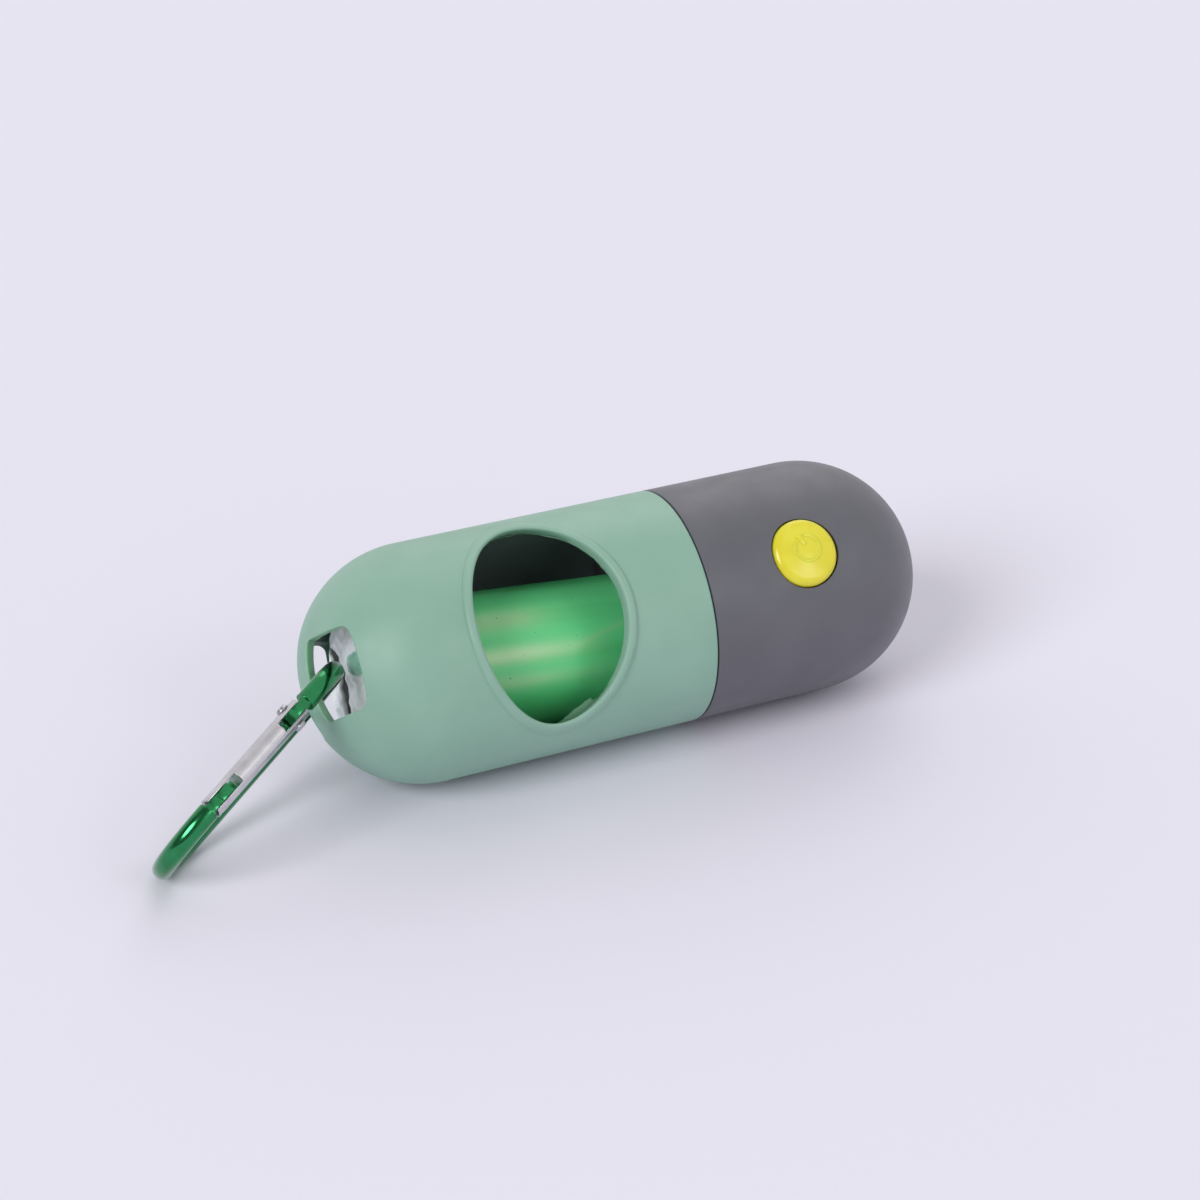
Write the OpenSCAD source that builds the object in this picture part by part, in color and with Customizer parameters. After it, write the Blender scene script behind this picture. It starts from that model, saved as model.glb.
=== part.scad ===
// Dispenser for dog waste bags: a capsule of two halves. The bag half holds a roll of bags and has
// a mouth in its side and a hitch in its end, and the other half is a small torch on a push-in neck.
// X runs along the capsule from the hitch to the torch, and Z = 0 is the table that it lies on.

/* [Capsule] */
// Outer radius of the tube and of both domes
tube_r = 22; // [21.6:0.2:23.6]
// Thickness of the walls of both halves
wall = 2; // [1.6:0.1:2.2]
// Length of the torch half's straight tube, from the seam to its dome
torch_straight = 27.6; // [27:0.2:34]
// Chamfer on both edges of the seam
seam_chamfer = 0.2; // [0.1:0.1:0.6]

/* [Mouth] */
// Distance from the centre of the bag half's dome to the middle of the mouth
mouth_at = 19; // [17:0.5:26]
// Direction that the mouth faces, from straight up towards the front
mouth_angle = 51; // [35:1:60]
// Length of the mouth along the capsule
mouth_len = 28; // [20:0.5:32]
// Width of the mouth across the capsule
mouth_width = 35.6; // [28:0.4:36]
// Width of the bead round the mouth
bead_width = 2; // [1.2:0.1:2.2]
// Height of the bead above the tube
bead_proud = 0.7; // [0.4:0.1:1.2]

/* [Hitch] */
// Direction that the hitch's front window faces, from straight up towards the front
hitch_angle = 50; // [40:1:60]
// Distance from the capsule's axis to the far edge of the front window
hitch_reach = 15.7; // [14:0.1:16.5]
// Width of the front window along the bridge
hitch_width = 15.2; // [14:0.2:17]
// Distance from the capsule's axis to the far edge of the back window
back_reach = 18.7; // [17:0.1:19]
// Width of the back window along the bridge
back_width = 18.4; // [16:0.2:19]
// Width of the bridge between the windows
bridge_width = 6.4; // [5.6:0.2:6.4]
// How far the bridge stands off the capsule's axis, towards its front
bridge_shift = 0.3; // [0.1:0.1:0.6]
// Bevel on the inner edges of the bridge
bridge_bevel = 1.5; // [1.5:0.1:1.8]
// Corner radius of the windows
hitch_corner = 1.5; // [0.5:0.1:2.5]

/* [Bag roll] */
// Outer radius of the rolled film
roll_r = 13.4; // [11:0.2:13.6]
// Length of the roll, which sets the length of the bag half
roll_len = 54.8; // [50:0.2:62]
// How far the roll's hitch end reaches into the dome
roll_reach = 12.2; // [11:0.2:12.2]
// Outer radius of the cardboard core
core_r = 9.5; // [7:0.5:10]
// Thickness of the cardboard core
core_wall = 1.2; // [0.8:0.1:2]
// How far the roll's hitch end rides up inside the dome
roll_rise = 5.25; // [4.4:0.05:5.25]
// Width of the loose film folded against the roll's hitch end
tail_width = 12; // [6:1:16]
// Thickness of that folded film
tail_thick = 0.5; // [0.3:0.1:0.6]

/* [Carabiner] */
// Radius of the bent rod
rod_r = 1.85; // [1.6:0.05:1.9]
// Centreline radius of the bend in the hitch
top_bend = 8; // [7.6:0.1:8.4]
// Angle between the spine and the gate, which makes the clip end the wider one
spine_turn = 8; // [6:1:10]
// Distance between the centres of the two bends
bend_gap = 28.74; // [27:0.2:34]
// Radius of the gate's bar
gate_r = 2; // [1.9:0.05:2.2]
// Distance from the top bend to the gate's rivet
rivet_at = 7.07; // [6.6:0.1:8]
// Distance from the rivet to the latch pin
latch_reach = 21.6; // [20:0.1:21.6]
// Thickness of the flattened tongues in the gate's slots
tongue_thick = 1.9; // [1.4:0.1:2]
// How far the carabiner leans along the bridge
hang_lean = 34.08; // [28:1:40]
// How far its tip stands away from the capsule's end, across the bridge
hang_pitch = 8.35; // [4:0.5:12]
// How far it is turned about its own length
hang_roll = -5.32; // [-8:0.5:0]

/* [Neck] */
// Length of the torch's neck inside the bag half
neck_len = 6; // [5:0.2:6]
// Thickness of the neck
neck_wall = 1.8; // [1.4:0.1:2]
// Height of the thread's crests above the neck
crest_height = 0.4; // [0.2:0.05:0.4]
// Distance from one crest to the next
crest_pitch = 1.6; // [1.4:0.1:1.8]

/* [Torch] */
// Radius of the flat at the torch's end
flat_r = 10.8; // [10.6:0.1:12]
// Radius of the hole for the lens ring
lens_hole_r = 9.6; // [8.6:0.1:9.6]
// Depth of the reflector behind the lens ring
reflector_depth = 10.8; // [9:0.2:12]
// Radius of the lamp's body
led_r = 2.5; // [2:0.1:2.6]

/* [Button] */
// Direction that the button faces, from straight up towards the front
button_angle = 47.5; // [40:0.5:60]
// Distance from the seam to the middle of the button
button_at = 20.1; // [19:0.1:21]
// Radius of the button
button_r = 6.35; // [5:0.05:6.6]
// Height of the button's crown above the tube
button_proud = 1; // [0.6:0.1:1.6]
// How far the button goes in
button_travel = 1; // [0.6:0.1:1.2]
// Height of the switch on the board
switch_height = 4.8; // [4:0.1:5]

/* [Power] */
// Radius of one button cell
cell_r = 5.8; // [5:0.1:5.8]
// Height of one button cell
cell_height = 5.4; // [4.8:0.1:5.4]
// Number of cells
cell_count = 3; // [2:1:3]
// Distance of the row of cells below the capsule's axis
cell_drop = 4; // [3.6:0.1:4.4]

/* [Hidden] */
$fa = 4;
$fs = 0.4;

slip = 0.05;            // running clearance of pins and plungers, and of pieces that are pressed together
ease = 0.3;             // clearance between pieces that lie loosely side by side
eps = 1;                // how far a cutter reaches past what it cuts

inner_r = tube_r - wall;
mouth_low = tube_r / 4;                              // where the mouth's prism starts, well inside the tube
roll_gap = 1.2;                                      // from the roll to the neck's end
roll_end_s = roll_len - roll_reach;                  // roll's neck end, from the bag half's dome centre
seam_at = roll_end_s + roll_gap + neck_len;          // from the bag half's dome centre to the seam
dome_gap = seam_at + torch_straight;                 // between the centres of the two domes
bag_dome_x = -dome_gap / 2;
seam_x = bag_dome_x + seam_at;
flat_s = torch_straight + sqrt(tube_r * tube_r - flat_r * flat_r);
front_s = flat_s - wall;                             // inner face of the flat end
bridge_inner = sqrt(inner_r * inner_r - pow(bridge_width / 2 - bridge_bevel, 2));

// Bag roll: its lower corner at the neck end lies on the tube, and its other end rides up in the dome
roll_low = inner_r - ease - roll_r;
roll_lean = asin(roll_rise / roll_len);
core_gap = slip;
tail_inset = 1.5;                                    // from the roll's outside to the loose film

// Carabiner, in a frame with X towards the hitch, Z towards the gate side and Y across its plane
bend_drop = bend_gap * tan(spine_turn / 2);
tip_bend = top_bend + bend_drop;                     // centreline radius of the bend at the clip end
hang_x = -(tube_r + 1.25);
hang_v = -3.45;
hang_w = 2.2;
rivet_r = 0.75;
rivet_head_r = 1.25;
rivet_head = 0.7;
pin_r = 0.6;
collar_gap = 3.96;                                   // from the rivet to the shoulder of the frame
gate_tail = 2.5;                                     // gate's length behind the rivet
gate_nose = 0.8;                                     // gate's length past the latch pin
hinge_slot = 3.33;                                   // slot's length in front of the rivet
nose_slot = 6.2;                                     // slot's length behind the latch pin
nose_hook = 4.1;                                     // length of the frame's hook behind the latch pin
nose_shoulder = 1.4;                                 // from the latch pin to the frame's lower shoulder
lap = 0.3;                                           // straight stretches run this far into the bends
shy = 0.01;                                          // and are this much thinner, to end inside them
nose_root = 0.5;                                     // how far the hook's tongue runs into the rod
tongue_r = 1.7;                                      // rounding of the hinge tongue about the rivet
slot_ease = 0.1;                                     // clearance of a tongue in its slot, each side
gate_slot = tongue_thick + 2 * slot_ease;
flat_cut = 0.15;                                     // depth of the flats for the rivet's heads
flat_y = gate_r - flat_cut;
notch_ease = 0.2;
rivet_chamfer = 0.35;
spring_wire = 0.2;
spring_bore = tongue_thick / 2 + slot_ease;
gate_spring_len = 7.5;
gate_spring_turns = 6;
gate_bore = gate_spring_len - hinge_slot + tongue_r + 2 * slip;
latch_at = rivet_at + latch_reach;
nose_from = 90 + round(asin((latch_at + nose_shoulder - bend_gap) / tip_bend));

// Torch, in a frame with X from the seam and Z towards the button
neck_ease = 0.6;
neck_r = inner_r - neck_ease;
neck_in_r = neck_r - neck_wall;
neck_root = 3;                                       // how far the neck runs on inside the shell
plate_thick = 2.4;                                   // bulkhead of the cell carrier
plate_s = -4.4;                                      // outer face of the bulkhead
plate_in = plate_s + plate_thick;
plate_r = neck_in_r - 2 * slip;
screw_r = 1;
screw_head_r = 1.9;
screw_head = 1.3;
screw_len = 5;
boss_r = 2.4;
boss_sink = 0.4;                                     // how far a boss is set into the neck's wall
boss_at = neck_in_r - boss_r + boss_sink;
boss_step = 0.5;                                     // bosses end this far short of the neck's root
cover_lap = 2.4;                                     // cover's width round the cells
cover_r = cell_r + cover_lap;
cover_thick = 1.2;
cover_spigot = 1.8;
ear_out = 4;                                         // from the cells' edge to the cover's screw
ear_at = cell_r + ear_out;
ear_r = 2.6;
tube_bore = cell_r + ease;
tube_wall = 1.3;
spring_len = 5.7;
spring_turns = 4;
coil_inset = 2.2;
coil_r = cell_r - coil_inset;
coil_wire = 0.3;
cover_face = plate_s + cover_thick + cover_spigot;   // inner face of the cover's spigot
cell_s = cover_face + spring_len + 2 * slip;
cells_end = cell_s + cell_count * cell_height + slip;
contact_thick = 0.4;
cap_thick = 1.6;
carrier_end = cells_end + contact_thick + slip + cap_thick;
crest_count = floor((neck_len - crest_pitch / 2) / crest_pitch);
board_thick = 1.6;
board_width = 15;
board_s = 5;
board_past = 10;                                     // board's length past the button's middle
board_end = button_at + board_past;
flange_lap = 1.35;                                   // flange's width round the button
flange_r = button_r + flange_lap;
flange_thick = 1.2;
flange_ease = 0.26;                                  // from the flange to the shell above it
flange_top = sqrt(inner_r * inner_r - flange_r * flange_r) - flange_ease;
flange_low = flange_top - flange_thick;
hole_ease = 0.25;                                    // gap round the button
crown_drop = 0.7;                                    // how much the crown falls to the button's edge
crown_top = tube_r + button_proud;
crown_r = (button_r * button_r + crown_drop * crown_drop) / (2 * crown_drop);
plunger_r = 1.7;
plunger_out = 1.6;                                   // plunger's length above the switch
plunger_in = 3;                                      // plunger's length inside the switch
switch_side = 7;
switch_top = flange_low - plunger_out;
board_top = switch_top - switch_height;
board_low = board_top - board_thick;
post_thick = 2;
ring_flange = 0.5;                                   // ring's step behind the shell's flat end
ring_lip = 0.4;                                      // ring's step and lip, and how far it stands proud
ring_wall = 0.7;
ring_grip = 0.9;                                     // how far the lip laps over the lens
ring_front = flat_s + ring_lip;
lens_r = lens_hole_r - ring_wall;
lens_thick = 1.4;
lens_s = ring_front - ring_lip - lens_thick;
reflector_wall = 0.8;
bowl_rear = lens_s - reflector_depth;
led_flange = 1;
led_step = 0.5;
led_body = 4;
led_back = bowl_rear - led_flange;
led_ease = 0.15;
BOWL_STEPS = 10;
throat_r = led_r + led_ease;
bowl_r = lens_r - reflector_wall;
lead_side = 0.5;
lead_gap = 2.54;
lead_inset = 1.5;                                    // from the board's end to the lamp's leads
lead_s = board_end - lead_inset;
lead_out = 0.8;                                      // leads' length above the board
lead_hole_r = 0.4;
symbol_r = 2.2;
symbol_line = 0.6;
symbol_gap = 1.9;
symbol_stem = 2.4;
symbol_turn = 30;
symbol_rise = 0.25;
chip_len = 3.2;
chip_width = 1.6;
chip_height = 0.6;
chip_gap = 2;
cell_button = 0.9;                                   // step of a cell's smaller pole
cell_rim = 1.2;
screw_tip = 0.2;                                     // bore's depth past a screw's tip
screw_bore = screw_len - plate_thick + screw_tip;
cap_s = cells_end + contact_thick + slip;            // inner face of the carrier's end cap
post_s = 8;
post_width = 8;
wire_hole_r = 0.8;
red_out = 2;                                         // from the carrier to the red wire's rise
red_s = carrier_end + red_out;
black_s = 0.6;                                       // where the black wire leaves the carrier
black_hang = 2.4;                                    // how far below the board it runs
black_top = board_low - black_hang;
pad_inset = 1;                                       // from the board's end to the black wire's pad
pad_s = board_s + pad_inset;
wire_r = 0.45;
SIDES = 8;                                           // sides of a swept wire
COIL_STEPS = 12;                                     // steps in one turn of a coil

// ---- Placing ----

module in_bag_half() translate([bag_dome_x, 0, tube_r]) children();

module in_torch() translate([seam_x, 0, tube_r]) rotate([button_angle, 0, 0]) children();

module in_hitch() in_bag_half() rotate([hitch_angle, 0, 0]) children();

module in_carabiner() in_hitch() translate([hang_x, hang_v, hang_w])
    rotate([0, 0, hang_lean]) rotate([0, hang_pitch, 0]) rotate([hang_roll, 0, 0]) children();

module on_cell_axis() translate([0, 0, -cell_drop]) children();

// Turns a profile of [radius, distance along X] about the X axis
module turned() rotate([0, 90, 0]) rotate_extrude() children();

module bar(from, len, r) translate([from, 0, 0]) rotate([0, 90, 0]) cylinder(h = len, r = r);

module upright(x, y, low, len, r) translate([x, y, low]) cylinder(h = len, r = r);

// Screw that points along X, its head's top at the origin
module screw() {
    bar(0, screw_head, screw_head_r);
    bar(screw_head, screw_len, screw_r);
}

// ---- Swept wires ----

function bowl_at(k) = throat_r + (bowl_r - throat_r) * k / BOWL_STEPS;

function bowl_s(r) = bowl_rear
    + reflector_depth * (r * r - throat_r * throat_r) / (bowl_r * bowl_r - throat_r * throat_r);

function unit(v) = v / norm(v);

function heading(path, i) = unit(path[min(i + 1, len(path) - 1)] - path[max(i - 1, 0)]);

// Rings of points round a path, each set square to it by the reference direction
function rings(path, r, ref) = [
    for (i = [0 : len(path) - 1])
        let (t = heading(path, i), a = unit(cross(ref, t)), b = cross(t, a))
            for (k = [0 : SIDES - 1])
                path[i] + r * (cos(k * 360 / SIDES) * a + sin(k * 360 / SIDES) * b)
];

module swept(path, r, ref) {
    count = len(path);
    walls = [for (i = [0 : count - 2]) for (k = [0 : SIDES - 1])
        let (a = i * SIDES + k, b = i * SIDES + (k + 1) % SIDES)
            each [[a, a + SIDES, b + SIDES], [a, b + SIDES, b]]];
    start = [for (k = [0 : SIDES - 1]) k];
    finish = [for (k = [SIDES - 1 : -1 : 0]) (count - 1) * SIDES + k];
    polyhedron(points = rings(path, r, ref), faces = concat(walls, [start], [finish]), convexity = 8);
}

// Coil about the X axis
function coil(from, length, r, turns) = [
    for (i = [0 : turns * COIL_STEPS]) let (a = i * 360 / COIL_STEPS)
        [from + length * i / (turns * COIL_STEPS), r * cos(a), r * sin(a)]
];

// Smooth curve through hand-set corners: each corner is rounded by a quadratic arc
function rounded(p, steps = 4) = concat(
    [p[0]],
    [for (i = [1 : len(p) - 2]) for (k = [0 : steps])
        let (a = (p[i - 1] + p[i]) / 2, b = (p[i] + p[i + 1]) / 2, u = k / steps)
            (1 - u) * (1 - u) * a + 2 * u * (1 - u) * p[i] + u * u * b],
    [p[len(p) - 1]]
);

// ---- Bag half ----

// Half section of a dome with its straight tube, as [radius, distance from the dome's centre]
module dome_and_tube(r, length, chamfer) {
    intersection() {
        circle(r = r);
        translate([0, -r]) square([r, r]);
    }
    polygon([[0, 0], [r, 0], [r, length - chamfer], [r - chamfer, length], [0, length]]);
}

// Oval prism that stands out of the tube where the mouth is
module mouth_prism(margin, low, high) rotate([mouth_angle, 0, 0]) translate([mouth_at, 0, low])
    linear_extrude(high - low) scale([mouth_len / 2 + margin, mouth_width / 2 + margin])
        circle(r = 1, $fn = 96);

module mouth_bead() intersection() {
    bar(mouth_at - mouth_len, 2 * mouth_len, tube_r + bead_proud);
    mouth_prism(bead_width, mouth_low, tube_r + eps + bead_proud);
}

// What rounds a far corner of a window off: its radius is struck from spot, inside both edges that it joins
module corner_waste(spot) translate(spot) difference() {
    polygon([[0, 0], 3 * hitch_corner * spot / norm(spot), [3 * hitch_corner, 3 * hitch_corner], [0, 3 * hitch_corner]]);
    circle(r = hitch_corner);
}

// Outline of one window, as [distance across the bridge, distance along it], from the bridge outwards
module window(start, reach, width) {
    half = width / 2 - hitch_corner;
    difference() {
        intersection() {
            circle(r = reach);
            translate([start + hitch_corner, -width / 2]) square([tube_r, width]);
        }
        for (side = [-1, 1]) scale([1, side]) corner_waste([sqrt(pow(reach - hitch_corner, 2) - half * half), half]);
    }
    translate([start, -half]) square([2 * hitch_corner, 2 * half]);
    for (side = [-1, 1]) translate([start + hitch_corner, side * half]) circle(r = hitch_corner);
}

// Each window goes in along X to where its far edge leaves the inner wall
module hitch_windows() for (side = [-1, 1]) {
    reach = side > 0 ? hitch_reach : back_reach;
    width = side > 0 ? hitch_width : back_width;
    translate([-tube_r - eps, 0, 0]) rotate([0, 90, 0])
        linear_extrude(tube_r + 2 * eps - sqrt(inner_r * inner_r - reach * reach))
            scale([-side, 1]) window(bridge_width / 2 + side * bridge_shift, reach, width);
}

// Bevels both inner edges of the bridge, which bends about the same centre as the dome
module bridge_bevels() for (side = [-1, 1]) {
    span = asin((side > 0 ? hitch_width : back_width) / 2 / inner_r);
    rotate_extrude(angle = 2 * span, start = 180 - span)
        translate([0, side * bridge_width / 2 + bridge_shift]) scale([1, side])
            polygon([[inner_r - bridge_width, eps], [inner_r - bridge_width, -bridge_bevel],
                     [bridge_inner, -bridge_bevel], [bridge_inner + bridge_bevel, 0],
                     [bridge_inner + bridge_bevel, eps]]);
}

module bag_housing() color("#8fb8a6") in_bag_half() difference() {
    union() {
        turned() dome_and_tube(tube_r, seam_at, seam_chamfer);
        mouth_bead();
    }
    turned() dome_and_tube(inner_r, seam_at + eps, 0);
    mouth_prism(0, mouth_low - eps, tube_r + 2 * eps + bead_proud);
    rotate([hitch_angle, 0, 0]) {
        hitch_windows();
        bridge_bevels();
    }
}

// ---- Bag roll ----

// Frame of the roll: X along it from its neck end towards the hitch
module in_roll() in_bag_half() translate([roll_end_s, 0, -roll_low]) rotate([0, roll_lean - 180, 0]) children();

module roll_core() color("#d9d4cb") in_roll() difference() {
    bar(0, roll_len, core_r);
    bar(-eps, roll_len + 2 * eps, core_r - core_wall);
}

module bag_roll() color("#4fae70") in_roll() difference() {
    bar(0, roll_len, roll_r);
    bar(-eps, roll_len + 2 * eps, core_r + core_gap);
}

// Loose end of the film, folded flat against the end of the roll
module bag_tail() color("#7cc396") in_roll() intersection() {
    bar(roll_len, tail_thick, roll_r - tail_inset);
    rotate([hitch_angle, 0, 0]) translate([roll_len, -tail_width / 2, core_r - roll_r])
        cube([tail_thick, tail_width, 2 * roll_r]);
}

// ---- Carabiner ----

// Lays a flat outline or a turned bend in the carabiner's own plane
module in_loop() rotate([90, 0, 0]) children();

module bend(x, z, r, from, to) in_loop() translate([x, z, 0])
    rotate_extrude(angle = to - from, start = from) translate([r, 0]) circle(r = rod_r);

module gate_line() translate([0, 0, top_bend]) children();

// Frame of the gate: origin at its rivet, X towards the hitch
module at_rivet() gate_line() translate([-rivet_at, 0, 0]) children();

module cross_hole(x, r, half) translate([x, half, 0]) rotate([90, 0, 0]) cylinder(h = 2 * half, r = r);

// Slab of the rod between two distances along the gate's line
module tongue(from, to) intersection() {
    bar(from, to - from, rod_r);
    translate([from, -tongue_thick / 2, -rod_r]) cube([to - from, tongue_thick, 2 * rod_r]);
}

module carabiner_frame() color("#2b6a45") in_carabiner() {
    bend(0, 0, top_bend, spine_turn - 90, 90);
    bend(-bend_gap, -bend_drop, tip_bend, nose_from, 270 + spine_turn);
    rotate([0, -spine_turn, 0]) translate([0, 0, -top_bend])
        bar(-bend_gap - lap, bend_gap + 2 * lap, rod_r - shy);
    at_rivet() {
        bar(collar_gap, rivet_at - collar_gap + lap, rod_r - shy);
        difference() {
            union() {
                tongue(0, collar_gap);
                cross_hole(0, tongue_r, tongue_thick / 2);
            }
            cross_hole(0, rivet_r + slip, gate_r);
        }
        difference() {
            tongue(-latch_reach - nose_shoulder - nose_root, nose_hook - latch_reach);
            cross_hole(-latch_reach, pin_r + notch_ease, gate_r);
            translate([-latch_reach - pin_r - notch_ease, -gate_r, -2 * gate_r])
                cube([2 * (pin_r + notch_ease), 2 * gate_r, 2 * gate_r]);
        }
    }
}

module carabiner_gate() color("#d4d2d6") in_carabiner() at_rivet() difference() {
    bar(-latch_reach - gate_nose, latch_reach + gate_nose + gate_tail, gate_r);
    translate([-hinge_slot, -gate_slot / 2, -2 * gate_r])
        cube([hinge_slot + gate_tail + eps, gate_slot, 4 * gate_r]);
    translate([-latch_reach - gate_nose - eps, -gate_slot / 2, -2 * gate_r])
        cube([gate_nose + nose_slot + eps, gate_slot, 4 * gate_r]);
    bar(-hinge_slot - gate_bore, gate_bore + eps, spring_bore);
    cross_hole(0, rivet_r + slip, gate_r + eps);
    cross_hole(-latch_reach, pin_r + slip, gate_r + eps);
    for (side = [0, 1]) mirror([0, side, 0]) translate([0, gate_r + eps, 0]) rotate([90, 0, 0])
        cylinder(h = gate_r + eps - flat_y, r = rivet_head_r + 2 * slip);
}

module gate_rivet() color("#c9c7cb") in_carabiner() at_rivet() {
    cross_hole(0, rivet_r, flat_y + 2 * slip);
    for (side = [0, 1]) mirror([0, side, 0]) translate([0, flat_y + slip, 0]) rotate([-90, 0, 0])
        cylinder(h = rivet_head, r1 = rivet_head_r, r2 = rivet_head_r - rivet_chamfer);
}

module latch_pin() color("#b9b7bb") in_carabiner() at_rivet() cross_hole(-latch_reach, pin_r, flat_y);

module gate_spring() color("#a8a8ac") in_carabiner() at_rivet()
    swept(coil(spring_wire - tongue_r - gate_spring_len, gate_spring_len - 2 * spring_wire - slip,
               spring_bore - spring_wire - slip, gate_spring_turns), spring_wire, [1, 0, 0]);

// ---- Torch half ----

// Half section of the torch's walls, as [radius, distance from the seam]
module torch_section() difference() {
    union() {
        translate([0, torch_straight]) intersection() {
            circle(r = tube_r);
            square([tube_r, flat_s - torch_straight]);
        }
        polygon([[0, 0], [tube_r - seam_chamfer, 0], [tube_r, seam_chamfer], [tube_r, torch_straight],
                 [0, torch_straight]]);
        translate([0, -neck_len]) square([neck_r, neck_len + neck_root]);
        for (k = [0 : crest_count - 1]) translate([neck_r, -crest_pitch * (k + 1)])
            polygon([[-eps / 2, -crest_pitch / 3], [0, -crest_pitch / 3], [crest_height, -crest_pitch / 8],
                     [crest_height, crest_pitch / 8], [0, crest_pitch / 3], [-eps / 2, crest_pitch / 3]]);
    }
    translate([0, torch_straight]) intersection() {
        circle(r = inner_r);
        square([inner_r, front_s - torch_straight]);
    }
    translate([0, neck_root]) square([inner_r, torch_straight - neck_root]);
    translate([0, -neck_len - eps]) square([neck_in_r, neck_len + neck_root + 2 * eps]);
    translate([0, torch_straight]) square([lens_hole_r, flat_s]);
}

module at_bosses() for (turn = [90, 210, 330]) rotate([turn - 90, 0, 0]) translate([0, 0, boss_at]) children();

module torch_shell() color("#66666f") in_torch() difference() {
    union() {
        turned() torch_section();
        at_bosses() bar(plate_in, neck_root - plate_in - boss_step, boss_r);
    }
    at_bosses() bar(plate_in - eps, screw_bore + eps, screw_r + slip);
    upright(button_at, 0, flange_top, tube_r, button_r + hole_ease);
}

module lens_ring() color("#3c3c42") in_torch() turned() difference() {
    union() {
        translate([0, front_s - ring_flange]) square([lens_hole_r + ring_lip, ring_flange]);
        translate([0, front_s]) square([lens_hole_r - slip, ring_front - front_s]);
    }
    translate([0, front_s - ring_flange - eps])
        square([lens_r + slip, ring_front - ring_lip - front_s + ring_flange + eps]);
    translate([0, front_s]) square([lens_r - ring_grip, 2 * wall]);
}

module lens() color("#dfe9ee") in_torch() bar(lens_s, lens_thick, lens_r);

// Half of the reflector's wall, its inside a parabola that opens towards the lens
module reflector() color("#e6e7ea") in_torch() turned() polygon(concat(
    [for (k = [0 : BOWL_STEPS]) let (r = bowl_at(k)) [r, bowl_s(r)]],
    [for (k = [BOWL_STEPS : -1 : 0]) let (r = bowl_at(k)) [r + reflector_wall, bowl_s(r)]]));

module led() color("#f4f0d8") in_torch() {
    bar(led_back, led_flange, led_r + led_step);
    bar(bowl_rear, led_body, led_r);
    translate([bowl_rear + led_body, 0, 0]) turned() intersection() {
        circle(r = led_r);
        square(led_r);
    }
}

module led_leads() color("#c6c6c9") in_torch() for (side = [-1, 1]) translate([0, side * lead_gap / 2, 0]) {
    translate([lead_s - lead_side / 2, -lead_side / 2, -lead_side / 2])
        cube([led_back - lead_s + lead_side / 2, lead_side, lead_side]);
    translate([lead_s - lead_side / 2, -lead_side / 2, -lead_side / 2])
        cube([lead_side, lead_side, board_top + lead_out + lead_side / 2]);
}

// ---- Button and switch ----

module crown(rise) translate([button_at, 0, crown_top - crown_r]) sphere(r = crown_r + rise);

module power_symbol() {
    difference() {
        circle(r = symbol_r + symbol_line / 2);
        circle(r = symbol_r - symbol_line / 2);
        rotate(symbol_turn) translate([-symbol_gap / 2, 0]) square([symbol_gap, tube_r]);
    }
    rotate(symbol_turn) translate([-symbol_line / 2, symbol_r - symbol_stem / 2])
        square([symbol_line, symbol_stem]);
}

module power_button() color("#dcd045") in_torch() {
    upright(button_at, 0, flange_low, flange_thick, flange_r);
    intersection() {
        upright(button_at, 0, flange_low, tube_r, button_r);
        crown(0);
    }
    intersection() {
        translate([button_at, 0, flange_top]) linear_extrude(tube_r) power_symbol();
        crown(symbol_rise);
    }
}

module switch_body() color("#2a2a2d") in_torch() difference() {
    translate([button_at - switch_side / 2, -switch_side / 2, board_top])
        cube([switch_side, switch_side, switch_height]);
    upright(button_at, 0, switch_top - plunger_in - button_travel - 2 * slip, tube_r, plunger_r + slip);
}

module switch_plunger() color("#e8e8e8") in_torch()
    upright(button_at, 0, switch_top - plunger_in, plunger_in + plunger_out, plunger_r);

module circuit_board() color("#1f6b3a") in_torch() difference() {
    translate([board_s, -board_width / 2, board_low]) cube([board_end - board_s, board_width, board_thick]);
    for (side = [-1, 1])
        upright(lead_s, side * lead_gap / 2, board_low - eps, board_thick + 2 * eps, lead_hole_r);
}

module resistor() color("#26262a") in_torch()
    translate([button_at - switch_side / 2 - chip_gap - chip_len, -chip_width / 2, board_top])
        cube([chip_len, chip_width, chip_height]);

// ---- Cells and their carrier ----

module ear(thick, margin) {
    bar(plate_s, thick, cover_r + margin);
    translate([0, 0, -ear_at]) bar(plate_s, thick, ear_r + margin);
    translate([plate_s, -ear_r - margin, -ear_at]) cube([thick, 2 * (ear_r + margin), ear_at]);
}

// Stands behind one of the two places where the board rests on the carrier
module post(s) translate([s, -post_width / 2, 0])
    cube([post_thick, post_width, board_low + cell_drop]);

module cell_carrier() color("#d6d8da") in_torch() difference() {
    union() {
        bar(plate_s, plate_thick, plate_r);
        on_cell_axis() {
            bar(plate_s, carrier_end - plate_s, tube_bore + tube_wall);
            translate([0, 0, -ear_at]) bar(plate_s, screw_len + 2 * tube_wall, ear_r - slip);
            for (s = [post_s, carrier_end - post_thick]) post(s);
        }
    }
    at_bosses() bar(plate_s - eps, plate_thick + 2 * eps, screw_r + slip);
    on_cell_axis() {
        bar(plate_s - eps, cap_s - plate_s + eps, tube_bore);
        translate([-eps, 0, 0]) ear(cover_thick + eps, 2 * slip);
        translate([0, 0, -ear_at]) bar(plate_s, screw_len + 2 * slip, screw_r + slip);
        bar(cap_s - eps, carrier_end - cap_s + 2 * eps, wire_hole_r);
        upright(black_s, 0, coil_r, tube_bore + tube_wall, wire_hole_r);
    }
}

module button_cells() color("#cfd1d4") in_torch() on_cell_axis() for (k = [0 : cell_count - 1]) {
    bar(cell_s + k * cell_height + cell_button, cell_height - cell_button, cell_r);
    bar(cell_s + k * cell_height, cell_button, cell_r - cell_rim);
}

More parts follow.
